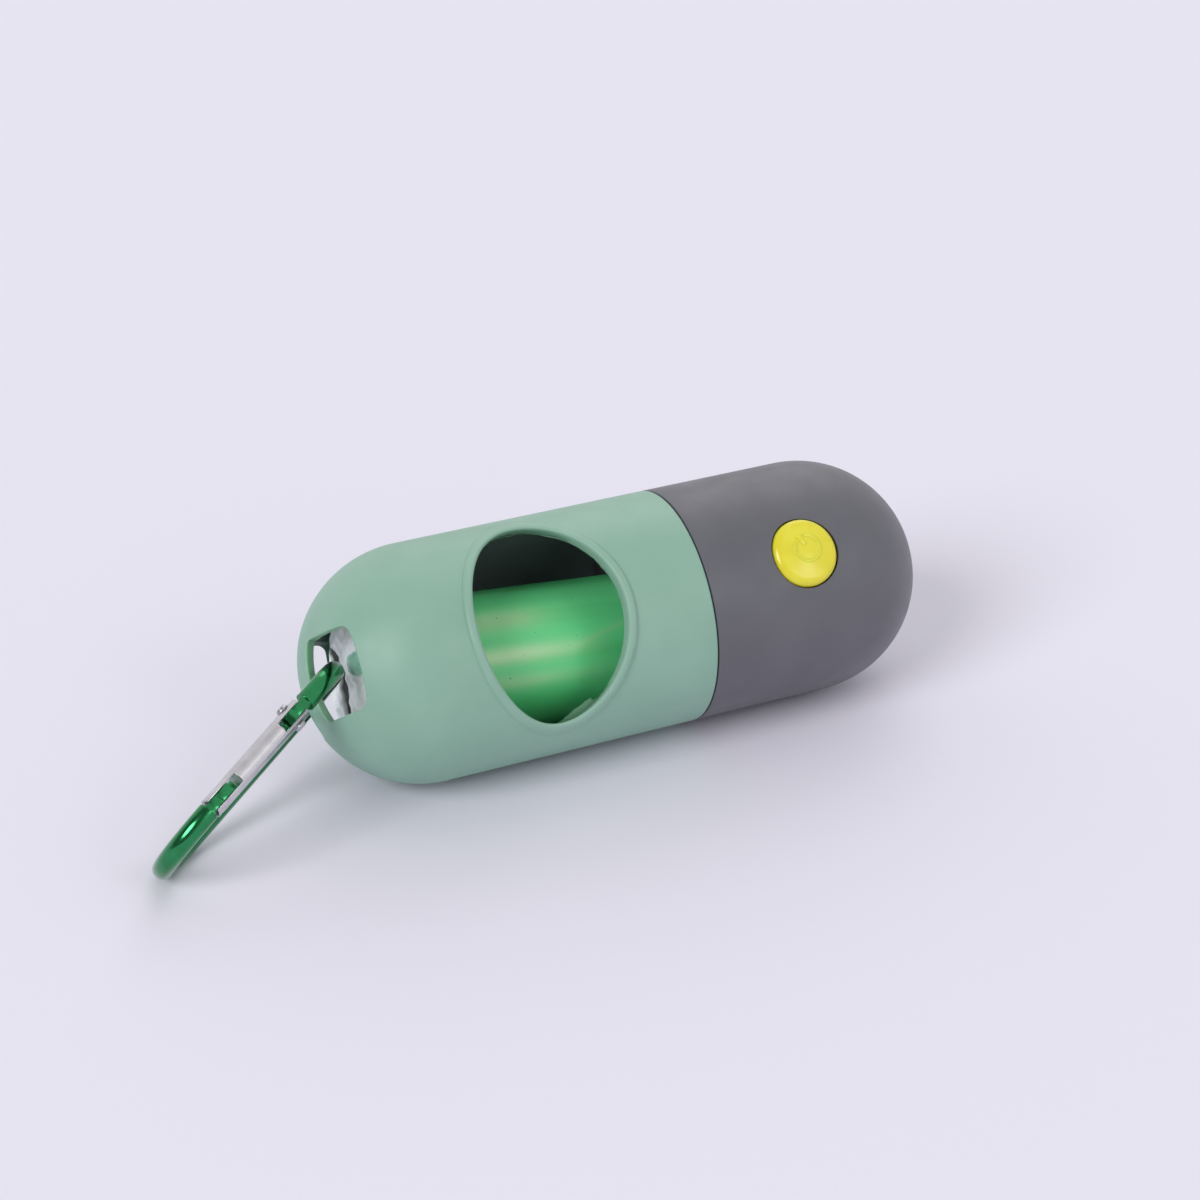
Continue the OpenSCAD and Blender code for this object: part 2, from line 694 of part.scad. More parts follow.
module contact_plate() color("#c9b26a") in_torch() on_cell_axis() bar(cells_end, contact_thick, cell_r);

module contact_spring() color("#b5b5b8") in_torch() on_cell_axis()
    swept(coil(cover_face + coil_wire + slip, spring_len - 2 * coil_wire, coil_r, spring_turns),
          coil_wire, [1, 0, 0]);

module battery_cover() color("#55555c") in_torch() on_cell_axis() difference() {
    union() {
        ear(cover_thick, 0);
        bar(plate_s, cover_face - plate_s, tube_bore - 2 * slip);
    }
    translate([0, 0, -ear_at]) bar(plate_s - eps, cover_thick + 2 * eps, screw_r + slip);
}

module cover_screw() color("#b0b2b6") in_torch() on_cell_axis()
    translate([plate_s - screw_head, 0, -ear_at]) screw();

module carrier_screws() color("#b0b2b6") in_torch() at_bosses() translate([plate_s - screw_head, 0, 0]) screw();

module wire_red() color("#c0392b") in_torch()
    swept(rounded([[cap_s, 0, -cell_drop], [red_s, 0, -cell_drop], [red_s, 0, board_low - wire_r]]), wire_r,
          [0, 1, 0]);

module wire_black() color("#202022") in_torch()
    swept(rounded([[black_s, 0, coil_r + coil_wire - cell_drop], [black_s, 0, black_top], [pad_s, 0, black_top],
                   [pad_s, 0, board_low]]), wire_r, [0, 1, 0]);

bag_housing();
roll_core();
bag_roll();
bag_tail();
carabiner_frame();
carabiner_gate();
gate_rivet();
latch_pin();
gate_spring();
torch_shell();
lens_ring();
lens();
reflector();
led();
led_leads();
power_button();
switch_body();
switch_plunger();
circuit_board();
resistor();
cell_carrier();
button_cells();
contact_plate();
contact_spring();
battery_cover();
cover_screw();
carrier_screws();
wire_red();
wire_black();
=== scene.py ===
import math
import bmesh
import bpy
from mathutils import Matrix, Vector


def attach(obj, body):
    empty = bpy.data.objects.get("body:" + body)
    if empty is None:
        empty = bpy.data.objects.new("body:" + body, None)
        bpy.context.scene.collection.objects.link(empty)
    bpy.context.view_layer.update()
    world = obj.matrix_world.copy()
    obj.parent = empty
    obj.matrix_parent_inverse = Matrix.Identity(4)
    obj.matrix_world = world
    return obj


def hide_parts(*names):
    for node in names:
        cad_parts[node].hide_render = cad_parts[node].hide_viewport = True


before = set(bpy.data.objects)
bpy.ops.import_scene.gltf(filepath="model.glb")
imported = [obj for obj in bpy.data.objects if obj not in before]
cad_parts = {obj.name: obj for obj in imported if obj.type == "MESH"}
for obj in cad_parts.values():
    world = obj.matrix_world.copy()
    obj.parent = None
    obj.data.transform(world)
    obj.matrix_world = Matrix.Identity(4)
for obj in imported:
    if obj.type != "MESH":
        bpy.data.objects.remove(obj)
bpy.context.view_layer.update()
mm = 0.001

# Lengths are in millimetres and angles in degrees. The capsule lies on the table along X
capsule = {
    "radius": 22,
    "wall": 2,
    "domeGap": 77.4,
    "seamAt": 49.8,
    # Rounding of the bag half's rim, how far before the seam the plain tube stops, and the groove between
    # the halves
    "rim": 0.4,
    "rimStart": 1,
    "gap": 0.22,
    "steps": 160,
    # What lies this close to the inner wall counts as part of it
    "slack": 0.03,
}
innerRadius = capsule["radius"] - capsule["wall"]
domeX = -capsule["domeGap"] / 2
seamX = domeX + capsule["seamAt"]
vertKind, edgeKind = bmesh.types.BMVert, bmesh.types.BMEdge


def linear(colour):  # from an sRGB hex value
    parts = [int(colour[i:i + 2], 16) / 255 for i in (1, 3, 5)]
    return [c / 12.92 if c <= 0.04045 else ((c + 0.055) / 1.055) ** 2.4 for c in parts] + [1]


# Sockets go by name, or by number where several share a name
def setInputs(tree, node, inputs):
    for socket, value in inputs.items():
        if isinstance(value, bpy.types.NodeSocket):
            tree.links.new(value, node.inputs[socket])
        else:
            node.inputs[socket].default_value = value


def addNode(tree, kind, settings=None, inputs=None):
    made = tree.nodes.new(kind)
    for name, value in (settings or {}).items():
        setattr(made, name, value)
    setInputs(tree, made, inputs or {})
    return made


def startMaterial(name, constants):
    material = bpy.data.materials.new(name)
    material.use_nodes = True
    tree = material.node_tree
    shader = tree.nodes["Principled BSDF"]
    setInputs(tree, shader, constants)
    return material, tree, shader


# Soft clouds of one size that drift between two shades, and the noise that they come from
def clouded(tree, where, size, detail, low, high, ends=(0.35, 0.65), more=None):
    inputs = {"Vector": where, "Scale": 1 / (size * mm), "Detail": detail}
    noise = addNode(tree, "ShaderNodeTexNoise", inputs={**inputs, **(more or {})})
    ramp = addNode(tree, "ShaderNodeValToRGB", inputs={"Fac": noise.outputs["Fac"]})
    for stop, position, colour in zip(ramp.color_ramp.elements, ends, (low, high)):
        stop.position = position
        stop.color = linear(colour)
    return ramp.outputs["Color"], noise.outputs["Fac"]


def place(x=0, y=0, z=0, turns=()):
    matrix = Matrix.Translation((x * mm, y * mm, z * mm))
    for degrees, axis in turns:
        matrix = matrix @ Matrix.Rotation(math.radians(degrees), 4, axis)
    return matrix


# A place on the capsule's axis, turned from straight up towards the front
def onAxis(x=0, facing=0):
    return place(x, 0, capsule["radius"], [(facing, "X")])


# Points of a profile, by distance along X and by radius, on an arc and on a straight stretch. The
# stretch leaves both its ends out
def arc(x, r, radius, start, end, steps):
    angles = [math.radians(start + (end - start) * i / steps) for i in range(steps + 1)]
    return [(x + radius * math.cos(a), r + radius * math.sin(a)) for a in angles]


def straight(start, end, r, steps):
    return [(start + (end - start) * i / steps, r) for i in range(1, steps)]


# Turns a profile about the X axis
def turned(bm, profile, steps, closed=False):
    verts = [bm.verts.new((x * mm, 0, r * mm)) for x, r in profile]
    edges = [bm.edges.new(pair) for pair in zip(verts, verts[1:])]
    if closed:
        edges.append(bm.edges.new((verts[-1], verts[0])))
    bmesh.ops.spin(bm, geom=verts + edges, cent=(0, 0, 0), axis=(1, 0, 0), angle=math.radians(360),
                   steps=steps, use_merge=True, use_duplicate=False)
    bmesh.ops.remove_doubles(bm, verts=bm.verts, dist=0.002 * mm)
    bmesh.ops.recalc_face_normals(bm, faces=bm.faces)


def only(kind, parts):
    return [part for part in parts if isinstance(part, kind)]


# Draws a flat outline out along Z into a solid
def drawOut(bm, depth):
    grown = bmesh.ops.extrude_face_region(bm, geom=bm.faces[:])
    bmesh.ops.translate(bm, vec=(0, 0, depth * mm), verts=only(vertKind, grown["geom"]))


def finishMesh(bm, name, matrix=None):
    if matrix:
        bmesh.ops.transform(bm, matrix=matrix, verts=bm.verts)
    mesh = bpy.data.meshes.new(name)
    bm.to_mesh(mesh)
    bm.free()
    made = bpy.data.objects.new(name, mesh)
    bpy.context.scene.collection.objects.link(made)
    return made


def dress(made, material, body, standsFor=(), sharpAngle=35):
    made.data.materials.clear()
    made.data.materials.append(material)
    made.data.shade_smooth()
    made.data.set_sharp_from_angle(angle=math.radians(sharpAngle))
    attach(made, body)
    if standsFor:
        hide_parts(*standsFor)


def cut(made, cutters):
    for cutter in cutters:
        step = made.modifiers.new("cut", "BOOLEAN")
        step.object = cutter
        step.operation = "DIFFERENCE"
        step.solver = "EXACT"
    bpy.context.view_layer.update()
    evaluated = made.evaluated_get(bpy.context.evaluated_depsgraph_get())
    mesh = bpy.data.meshes.new_from_object(evaluated)
    made.modifiers.clear()
    made.data = mesh
    for cutter in cutters:
        bpy.data.objects.remove(cutter)


# A copy of a solid with its loose triangles merged, so that round surfaces shade smoothly
def refined(node, material, body, sharpAngle=28):
    bm = bmesh.new()
    bm.from_mesh(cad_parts[node].data)
    bmesh.ops.remove_doubles(bm, verts=bm.verts, dist=0.001 * mm)
    name = "".join(word.capitalize() for word in node.split("_"))
    made = finishMesh(bm, name[0].lower() + name[1:] + "Piece")
    dress(made, material, body, [node], sharpAngle)


# ABS from a spark-eroded mould: an even satin skin that a fine grain keeps from shining
def mouldedPlastic(name, colour, shade, roughness=0.46, grainSize=0.26, grainDepth=0.018,
                   softEdge=0.12, letsThrough=0):
    material, tree, shader = startMaterial(name, {
        "Roughness": roughness, "IOR": 1.5, "Specular IOR Level": 0.5, "Subsurface Weight": letsThrough,
        "Subsurface Scale": 2 * mm, "Subsurface Radius": (0.7, 1, 0.8)})
    where = addNode(tree, "ShaderNodeTexCoord").outputs["Object"]
    mottled = clouded(tree, where, 14, 3, shade, colour)[0]
    # Grain is nearer 0.1 mm on the real skin, and drawn coarser so that it shows
    grain = addNode(tree, "ShaderNodeTexNoise", inputs={
        "Vector": where, "Scale": 1 / (grainSize * mm), "Detail": 2})
    scuff = addNode(tree, "ShaderNodeTexNoise", inputs={"Vector": where, "Scale": 1 / (5 * mm), "Detail": 4})
    gloss = addNode(tree, "ShaderNodeMapRange", inputs={
        "Value": scuff.outputs["Fac"], "From Min": 0.3, "From Max": 0.7,
        "To Min": roughness - 0.05, "To Max": roughness + 0.06})
    bump = addNode(tree, "ShaderNodeBump", inputs={
        "Strength": 0.45, "Distance": grainDepth * mm, "Height": grain.outputs["Fac"]})
    if softEdge:
        soft = addNode(tree, "ShaderNodeBevel", {"samples": 8}, {"Radius": softEdge * mm})
        setInputs(tree, bump, {"Normal": soft.outputs["Normal"]})
    setInputs(tree, shader, {"Base Color": mottled, "Roughness": gloss.outputs["Result"],
                             "Normal": bump.outputs["Normal"]})
    return material


# Glossy injection-moulded cap: smooth enough to carry a clear highlight on its rounded edge
def glossyPlastic(name, colour, shade, roughness):
    material, tree, shader = startMaterial(name, {
        "Roughness": roughness, "IOR": 1.5, "Subsurface Weight": 0.15, "Subsurface Scale": 1.2 * mm})
    where = addNode(tree, "ShaderNodeTexCoord").outputs["Object"]
    mottled = clouded(tree, where, 4, 2, shade, colour)[0]
    ripple = addNode(tree, "ShaderNodeTexNoise", inputs={
        "Vector": where, "Scale": 1 / (0.9 * mm), "Detail": 2})
    bump = addNode(tree, "ShaderNodeBump", inputs={
        "Strength": 0.15, "Distance": 0.01 * mm, "Height": ripple.outputs["Fac"]})
    setInputs(tree, shader, {"Base Color": mottled, "Normal": bump.outputs["Normal"]})
    return material


# Blown polyethylene film wound tight: glossy, with a fine leathery grain and a few dark specks of pigment.
# Painted highlight: paler bands where the lights reflect, from an attribute that also pales the crease
def woundFilm(name, colour, shade, pale, speckColour, lean):
    material, tree, shader = startMaterial(name, {
        "Roughness": 0.3, "IOR": 1.5, "Subsurface Weight": 0.12, "Subsurface Scale": 1.5 * mm})
    where = addNode(tree, "ShaderNodeTexCoord").outputs["Object"]
    turn = addNode(tree, "ShaderNodeMapping", inputs={
        "Vector": where, "Rotation": (0, math.radians(lean), 0)})
    drawn = addNode(tree, "ShaderNodeMapping", inputs={
        "Vector": turn.outputs["Vector"], "Scale": (0.12, 1, 1)})
    body = clouded(tree, drawn.outputs["Vector"], 6, 2, shade, colour, (0.3, 0.6), {"Roughness": 0.4})[0]
    paintedSheenAndPaleCrease = addNode(tree, "ShaderNodeAttribute", {"attribute_name": "paintedSheenAndPaleCrease"})
    withPaintedSheen = addNode(tree, "ShaderNodeMix", {"data_type": "RGBA"}, {
        "Factor": paintedSheenAndPaleCrease.outputs["Fac"], 6: body, 7: linear(pale)})
    speck = addNode(tree, "ShaderNodeTexVoronoi", inputs={"Vector": where, "Scale": 1 / (1.9 * mm)})
    dots = addNode(tree, "ShaderNodeMapRange", inputs={
        "Value": speck.outputs["Distance"], "From Min": 0.05, "From Max": 0.085, "To Min": 1, "To Max": 0})
    patch = addNode(tree, "ShaderNodeTexNoise", inputs={"Vector": where, "Scale": 1 / (5 * mm), "Detail": 1})
    some = addNode(tree, "ShaderNodeMapRange", inputs={
        "Value": patch.outputs["Fac"], "From Min": 0.5, "From Max": 0.62, "To Min": 0, "To Max": 0.8})
    both = addNode(tree, "ShaderNodeMath", {"operation": "MULTIPLY"}, {
        0: dots.outputs["Result"], 1: some.outputs["Result"]})
    spotted = addNode(tree, "ShaderNodeMix", {"data_type": "RGBA"}, {
        "Factor": both.outputs["Value"], 6: withPaintedSheen.outputs[2], 7: linear(speckColour)})
    grain = addNode(tree, "ShaderNodeTexNoise", inputs={
        "Vector": where, "Scale": 1 / (0.4 * mm), "Detail": 2})
    bump = addNode(tree, "ShaderNodeBump", inputs={
        "Strength": 0.3, "Distance": 0.02 * mm, "Height": grain.outputs["Fac"]})
    setInputs(tree, shader, {"Base Color": spotted.outputs[2], "Normal": bump.outputs["Normal"]})
    return material


# A loose layer of bag film, crumpled: thin, cloudy and paler than the roll, with soft creases. Its colour
# attribute carries painted shade, and it has a faint painted glow
def looseFilm(name):
    material, tree, shader = startMaterial(name, {
        "Roughness": 0.45, "IOR": 1.5, "Subsurface Weight": 0.25, "Subsurface Scale": 1.5 * mm,
        "Emission Strength": 0.1})
    where = addNode(tree, "ShaderNodeTexCoord").outputs["Object"]
    tintAndShade = addNode(tree, "ShaderNodeAttribute", {"attribute_name": "filmTintAndPaintedShade"})
    cloud, crease = clouded(tree, where, 1.6, 4, "#f6fafa", "#ffffff", more={"Distortion": 0.8})
    mixed = addNode(tree, "ShaderNodeMix", {"data_type": "RGBA", "blend_type": "MULTIPLY"}, {
        "Factor": 0.8, 6: tintAndShade.outputs["Color"], 7: cloud})
    bump = addNode(tree, "ShaderNodeBump", inputs={"Strength": 0.3, "Distance": 0.08 * mm, "Height": crease})
    # A faint painted glow in the film's own colour keeps it from going dull in the shade
    setInputs(tree, shader, {"Base Color": mixed.outputs[2], "Emission Color": mixed.outputs[2],
                             "Normal": bump.outputs["Normal"]})
    return material


# Metal bar stock: anodised or bare aluminium, or zinc, with drawing lines and small knocks
def barMetal(name, colour, shade, roughness, coat=0.0):
    material, tree, shader = startMaterial(name, {
        "Metallic": 1, "Roughness": roughness, "Coat Weight": coat, "Coat Roughness": 0.12})
    where = addNode(tree, "ShaderNodeTexCoord").outputs["Object"]
    mottled, cloud = clouded(tree, where, 3, 4, shade, colour)
    knock = addNode(tree, "ShaderNodeTexNoise", inputs={
        "Vector": where, "Scale": 1 / (0.25 * mm), "Detail": 3})
    gloss = addNode(tree, "ShaderNodeMapRange", inputs={
        "Value": cloud, "From Min": 0.3, "From Max": 0.7,
        "To Min": roughness - 0.06, "To Max": roughness + 0.1})
    soft = addNode(tree, "ShaderNodeBevel", {"samples": 8}, {"Radius": 0.18 * mm})
    bump = addNode(tree, "ShaderNodeBump", inputs={
        "Strength": 0.2, "Distance": 0.01 * mm, "Height": knock.outputs["Fac"],
        "Normal": soft.outputs["Normal"]})
    setInputs(tree, shader, {"Base Color": mottled, "Roughness": gloss.outputs["Result"],
                             "Normal": bump.outputs["Normal"]})
    return material


# Clear acrylic lens, polished on both faces
def clearAcrylic(name):
    material, tree, shader = startMaterial(name, {
        "Roughness": 0.04, "IOR": 1.49, "Transmission Weight": 1, "Base Color": linear("#f4f8fa")})
    where = addNode(tree, "ShaderNodeTexCoord").outputs["Object"]
    haze = addNode(tree, "ShaderNodeTexNoise", inputs={"Vector": where, "Scale": 1 / (2 * mm), "Detail": 2})
    gloss = addNode(tree, "ShaderNodeMapRange", inputs={
        "Value": haze.outputs["Fac"], "To Min": 0.02, "To Max": 0.07})
    setInputs(tree, shader, {"Roughness": gloss.outputs["Result"]})
    return material


# Plain inner stuff: board, wire sleeves and card, each with a little mottling
def plainStuff(name, colour, shade, roughness):
    material, tree, shader = startMaterial(name, {"Roughness": roughness})
    where = addNode(tree, "ShaderNodeTexCoord").outputs["Object"]
    mottled = clouded(tree, where, 1.2, 3, shade, colour)[0]
    setInputs(tree, shader, {"Base Color": mottled})
    return material


greenShell = mouldedPlastic("mouldedGreenAbs", "#8db3a2", "#87ae9c")
# Thin skins and cut edges let some light through, and their paler green is painted light
thinGreenPaintedLight = mouldedPlastic("thinGreenSkinPaintedLight", "#9bcaac", "#92c0a3", 0.5, softEdge=0, letsThrough=0.7)
# Dark green for the hitch's cut edges behind: painted shade
shadedGreen = mouldedPlastic("darkGreenCutPaintedShade", "#4c6d5e", "#456456", 0.6)
# Greyer than the green plastic it is made of: painted shade inside the housing
innerWallPaintedShade = mouldedPlastic("greyInnerWallPaintedShade", "#8b9599", "#808a8e", 0.6)
greyShell = mouldedPlastic("mouldedGreyAbs", "#63636b", "#5e5e66", 0.44)
darkRing = mouldedPlastic("mouldedDarkAbs", "#3d3d43", "#37373d", 0.4)
whiteCarrier = mouldedPlastic("mouldedWhiteAbs", "#d9dbdc", "#cfd2d4", 0.5)
blackCase = mouldedPlastic("mouldedBlackNylon", "#27272a", "#202023", 0.5)
yellowCap = glossyPlastic("mouldedYellowCap", "#e7de3c", "#e1d633", 0.2)
rollFilm = woundFilm("woundGreenFilm", "#6de396", "#58d282", "#d2e0b2", "#2c7444", -5.5)
tailFilm = looseFilm("loosePaleFilm")
coreCard = plainStuff("greyCoreBoard", "#c9c1b3", "#b8b0a2", 0.85)
anodisedGreen = barMetal("anodisedGreenAluminium", "#208b51", "#1b7e48", 0.13, 0.6)
bareAluminium = barMetal("drawnBareAluminium", "#d8d6da", "#c9c7cc", 0.3)
pinSteel = barMetal("zincPlatedPin", "#c2c1c5", "#aeadb2", 0.32)
springSteel = barMetal("springSteelWire", "#a9a9ae", "#98989d", 0.3)
plateBrass = barMetal("stampedBrass", "#c9ae63", "#b89d55", 0.3)
cellNickel = barMetal("nickelPlatedCell", "#d0d0d3", "#c4c4c8", 0.25)
bowlChrome = barMetal("metallisedBowl", "#eeeef0", "#e6e6e9", 0.08)
lensClear = clearAcrylic("polishedAcrylicLens")
ledResin = glossyPlastic("diodeResin", "#f2eecb", "#ece6b4", 0.12)
boardGreen = plainStuff("solderMaskedBoard", "#1f6b3a", "#1a5d32", 0.4)
chipBlack = plainStuff("mouldedChip", "#26262a", "#1f1f22", 0.5)
redSleeve = plainStuff("redWireSleeve", "#b8342a", "#a82c24", 0.45)
blackSleeve = plainStuff("blackWireSleeve", "#1f1f21", "#19191b", 0.45)
print("materials made")


view = {
    "spot": (-190.6, -409.8, 280.0),
    "towards": (0.36334, 0.79226, -0.49022),
    "lens": 84,
    "sensor": 36,
    "nearest": 10,
}
keySide = (-0.742, -0.346, 0.574)  # from the object towards the key light
studio = {
    "floor": "#e6e3f0",
    "floorHalf": 4000,
    "sky": "#e8e5f3",
    "skyStrength": 0.83,
    # The room behind the key light is darker: how much is left there, and between which cosines it fades
    "dimLeft": 0.28,
    "dimFade": (0.42, 0.8),
    # Each soft box: where it stands, how strong it is and how wide it looks
    "boxes": {
        "keyLeft": (keySide, 1.6, 30),
        "rimBehind": ((0.41, 0.68, 0.61), 0.36, 38),
        "stripRight": ((0.363, -0.733, 0.57), 0.2, 17),
    },
}


def makeCamera():
    camera = bpy.data.objects.new("camera", bpy.data.cameras.new("camera"))
    camera.location = [v * mm for v in view["spot"]]
    camera.rotation_euler = Vector(view["towards"]).to_track_quat("-Z", "Y").to_euler()
    camera.data.lens = view["lens"]
    camera.data.sensor_width = view["sensor"]
    camera.data.clip_start = view["nearest"] * mm
    bpy.context.scene.collection.objects.link(camera)
    bpy.context.scene.camera = camera


def makeFloor():
    bm = bmesh.new()
    bmesh.ops.create_grid(bm, x_segments=1, y_segments=1, size=studio["floorHalf"] * mm)
    floor = finishMesh(bm, "studioFloor")
    material, tree, shader = startMaterial("paleBackdropPaper", {
        "Roughness": 0.9, "Specular IOR Level": 0.1, "Base Color": linear(studio["floor"])})
    floor.data.materials.append(material)


# The camera, and clear things, see an even sky. Everything else is lit by one that is dimmed round the key
def makeSky():
    world = bpy.data.worlds.new("studioSky")
    bpy.context.scene.world = world
    world.use_nodes = True
    tree = world.node_tree
    where = addNode(tree, "ShaderNodeTexCoord").outputs["Generated"]
    towards = addNode(tree, "ShaderNodeVectorMath", {"operation": "DOT_PRODUCT"}, {0: where, 1: keySide})
    start, end = studio["dimFade"]
    dim = addNode(tree, "ShaderNodeMapRange", {"interpolation_type": "SMOOTHSTEP"}, {
        "Value": towards.outputs["Value"], "From Min": start, "From Max": end,
        "To Min": studio["skyStrength"], "To Max": studio["skyStrength"] * studio["dimLeft"]})
    background = tree.nodes["Background"]
    setInputs(tree, background, {"Color": (1, 1, 1, 1), "Strength": dim.outputs["Result"]})
    seen = addNode(tree, "ShaderNodeBackground", inputs={"Color": linear(studio["sky"]), "Strength": 1})
    ray = addNode(tree, "ShaderNodeLightPath")
    direct = addNode(tree, "ShaderNodeMath", {"operation": "MAXIMUM"}, {
        0: ray.outputs["Is Camera Ray"], 1: ray.outputs["Is Transmission Ray"]})
    mix = addNode(tree, "ShaderNodeMixShader", inputs={
        "Fac": direct.outputs["Value"], 1: background.outputs["Background"], 2: seen.outputs["Background"]})
    setInputs(tree, tree.nodes["World Output"], {"Surface": mix.outputs["Shader"]})


def makeBoxes():
    for name, (direction, strength, width) in studio["boxes"].items():
        box = bpy.data.objects.new(name, bpy.data.lights.new(name, "SUN"))
        box.data.energy = strength
        box.data.angle = math.radians(width)
        box.rotation_euler = Vector(direction).to_track_quat("Z", "Y").to_euler()
        bpy.context.scene.collection.objects.link(box)


bpy.context.scene.view_settings.view_transform = "Standard"
makeCamera()
makeFloor()
makeSky()
makeBoxes()
print("camera, floor and light made")


mouth = {
    "at": 19,
    "facing": 51,
    # Half length and half width, at the bead's inner edge and at its outer one
    "inner": (14, 17.8),
    "outer": (16, 19.8),
    "steps": 128,
    # The hole: how far it has spread from the inner to the outer edge, where it is cut from and how deep
    "cutSpread": 0.5,
    "cutFrom": 3,
    "cutDepth": 26,
    # Cross-section of the bead: how far it has spread from the inner to the outer edge, and its
    # height above the tube
    "section": [(0, -2), (0, -0.25), (0.03, 0.1), (0.1, 0.36), (0.2, 0.55), (0.33, 0.66), (0.47, 0.7),
                (0.61, 0.66), (0.74, 0.55), (0.85, 0.36), (0.92, 0.12), (0.95, -0.1), (0.95, -0.9),
                (0.52, -0.9), (0.5, -2)],
    # Moulding flash left on the inner edge: angle round the mouth, and how far it reaches in
    "flash": [(-95, 0), (-88, 0.45), (-82, 0.95), (-78, 1.3), (-74, 1.2), (-69, 1.3), (-64, 1.15),
              (-62.5, 0.5), (-59, 0.2), (-54, 0.1), (-48, 0)],
    "burrs": [(135, 0), (120, 0.16), (100, 0.16), (88, 0.42), (84, 0.18), (70, 0.16), (60, 0.36), (56, 0.16),
              (30, 0.16), (24, 0.32), (18, 0.1), (0, 0)],
    "flashThick": 0.2,
    # How far the skins' roots are set into the wall, and how deep the skins lie under the tube's surface
    "flashRoot": 0.05,
    "flashDepth": 1.3,
    "burrDepth": 1.8,
    # The ragged edge: points drawn from one place to the next, how far they stray and how soon they turn
    "raggedSteps": 4,
    "raggedHeight": 0.05,
    "raggedTurn": 2.3,
}
hitch = {
    "facing": 50,
    # Front window first, then the back one
    "reach": (15.7, 18.7),
    "halfWidth": (7.6, 9.2),
    "bridge": 6.4,
    "shift": 0.3,
    "corner": 1.5,
    "bevel": 1.5,
    # Distances from the dome's centre at which the windows and the bevels are cut from
    "cutFrom": 23,
    "bevelFrom": 14,
    "past": 1,
    # Faces this far into the dome that lean this little along the capsule, or outwards, are cut ones
    "cutInside": 2,
    "cutLean": (0.05, 0.85),
}


def bagProfile():
    r, rim, gap = capsule["radius"], capsule["rim"], capsule["gap"]
    tubeEnd = seamX - capsule["rimStart"]
    outer = arc(domeX, 0, r, 180, 90, 44) + straight(domeX, tubeEnd, r, 24) + [(tubeEnd, r)]
    # The rim rolls over into the groove between the halves
    seam = arc(seamX - gap - rim, r - rim, rim, 90, 0, 8)[1:] + [(seamX - gap, innerRadius)]
    return outer + seam + straight(seamX, domeX, innerRadius, 12) + arc(domeX, 0, innerRadius, 90, 180, 40)


# Half length and half width of an oval round the mouth, spread from the bead's inner edge
def ovalHalves(spread):
    return [inner + spread * (outer - inner) for inner, outer in zip(mouth["inner"], mouth["outer"])]


def mouthCutter():
    bm = bmesh.new()
    bmesh.ops.create_circle(bm, cap_ends=True, segments=mouth["steps"], radius=mm)
    bmesh.ops.scale(bm, vec=(*ovalHalves(mouth["cutSpread"]), 1), verts=bm.verts)
    drawOut(bm, mouth["cutDepth"])
    bmesh.ops.recalc_face_normals(bm, faces=bm.faces)
    spot = onAxis(domeX + mouth["at"], mouth["facing"]) @ place(z=mouth["cutFrom"])
    return finishMesh(bm, "mouthCutter", spot)


# One window of the hitch: a disc trimmed to the bridge and to the window's width
def windowCutter(side):
    start, corner = hitch["bridge"] / 2 + side * hitch["shift"], hitch["corner"] * mm
    reach, half = hitch["reach"][side < 0], hitch["halfWidth"][side < 0]
    bm = bmesh.new()
    bmesh.ops.create_circle(bm, cap_ends=True, segments=96, radius=reach * mm)
    trims = [((start, 0, 0), (-1, 0, 0)), ((0, half, 0), (0, 1, 0)), ((0, -half, 0), (0, -1, 0))]
    for spot, outwards in trims:
        bmesh.ops.bisect_plane(bm, geom=bm.verts[:] + bm.edges[:] + bm.faces[:], dist=0.0001 * mm,
                               plane_co=[v * mm for v in spot], plane_no=outwards, clear_outer=True)
    # Points of the circle that crowd a corner go, so that the corner can be rounded
    close = 0.01
    corners = [v for v in bm.verts if v.co.x < (start + close) * mm or abs(v.co.y) > (half - close) * mm]
    crowd = [v for v in bm.verts
             if v not in corners and min((v.co - c.co).length for c in corners) < 1.5 * corner]
    bmesh.ops.dissolve_verts(bm, verts=crowd)
    bmesh.ops.bevel(bm, geom=corners, offset=corner, offset_type="OFFSET", segments=6, profile=0.5,
                    affect="VERTICES", material=-1)
    # It stops just past where its far edge leaves the inner wall
    drawOut(bm, hitch["cutFrom"] + hitch["past"] - math.sqrt(innerRadius ** 2 - reach ** 2))
    if side < 0:
        bmesh.ops.scale(bm, vec=(-1, 1, 1), verts=bm.verts)
    # The disc's X lies across the bridge and its Y along it
    across = Matrix(((0, 0, 1, 0), (0, 1, 0, 0), (1, 0, 0, 0), (0, 0, 0, 1)))
    spot = onAxis(domeX, hitch["facing"]) @ place(-hitch["cutFrom"]) @ across
    bmesh.ops.transform(bm, matrix=spot, verts=bm.verts)
    bmesh.ops.recalc_face_normals(bm, faces=bm.faces)
    return finishMesh(bm, "windowCutter")


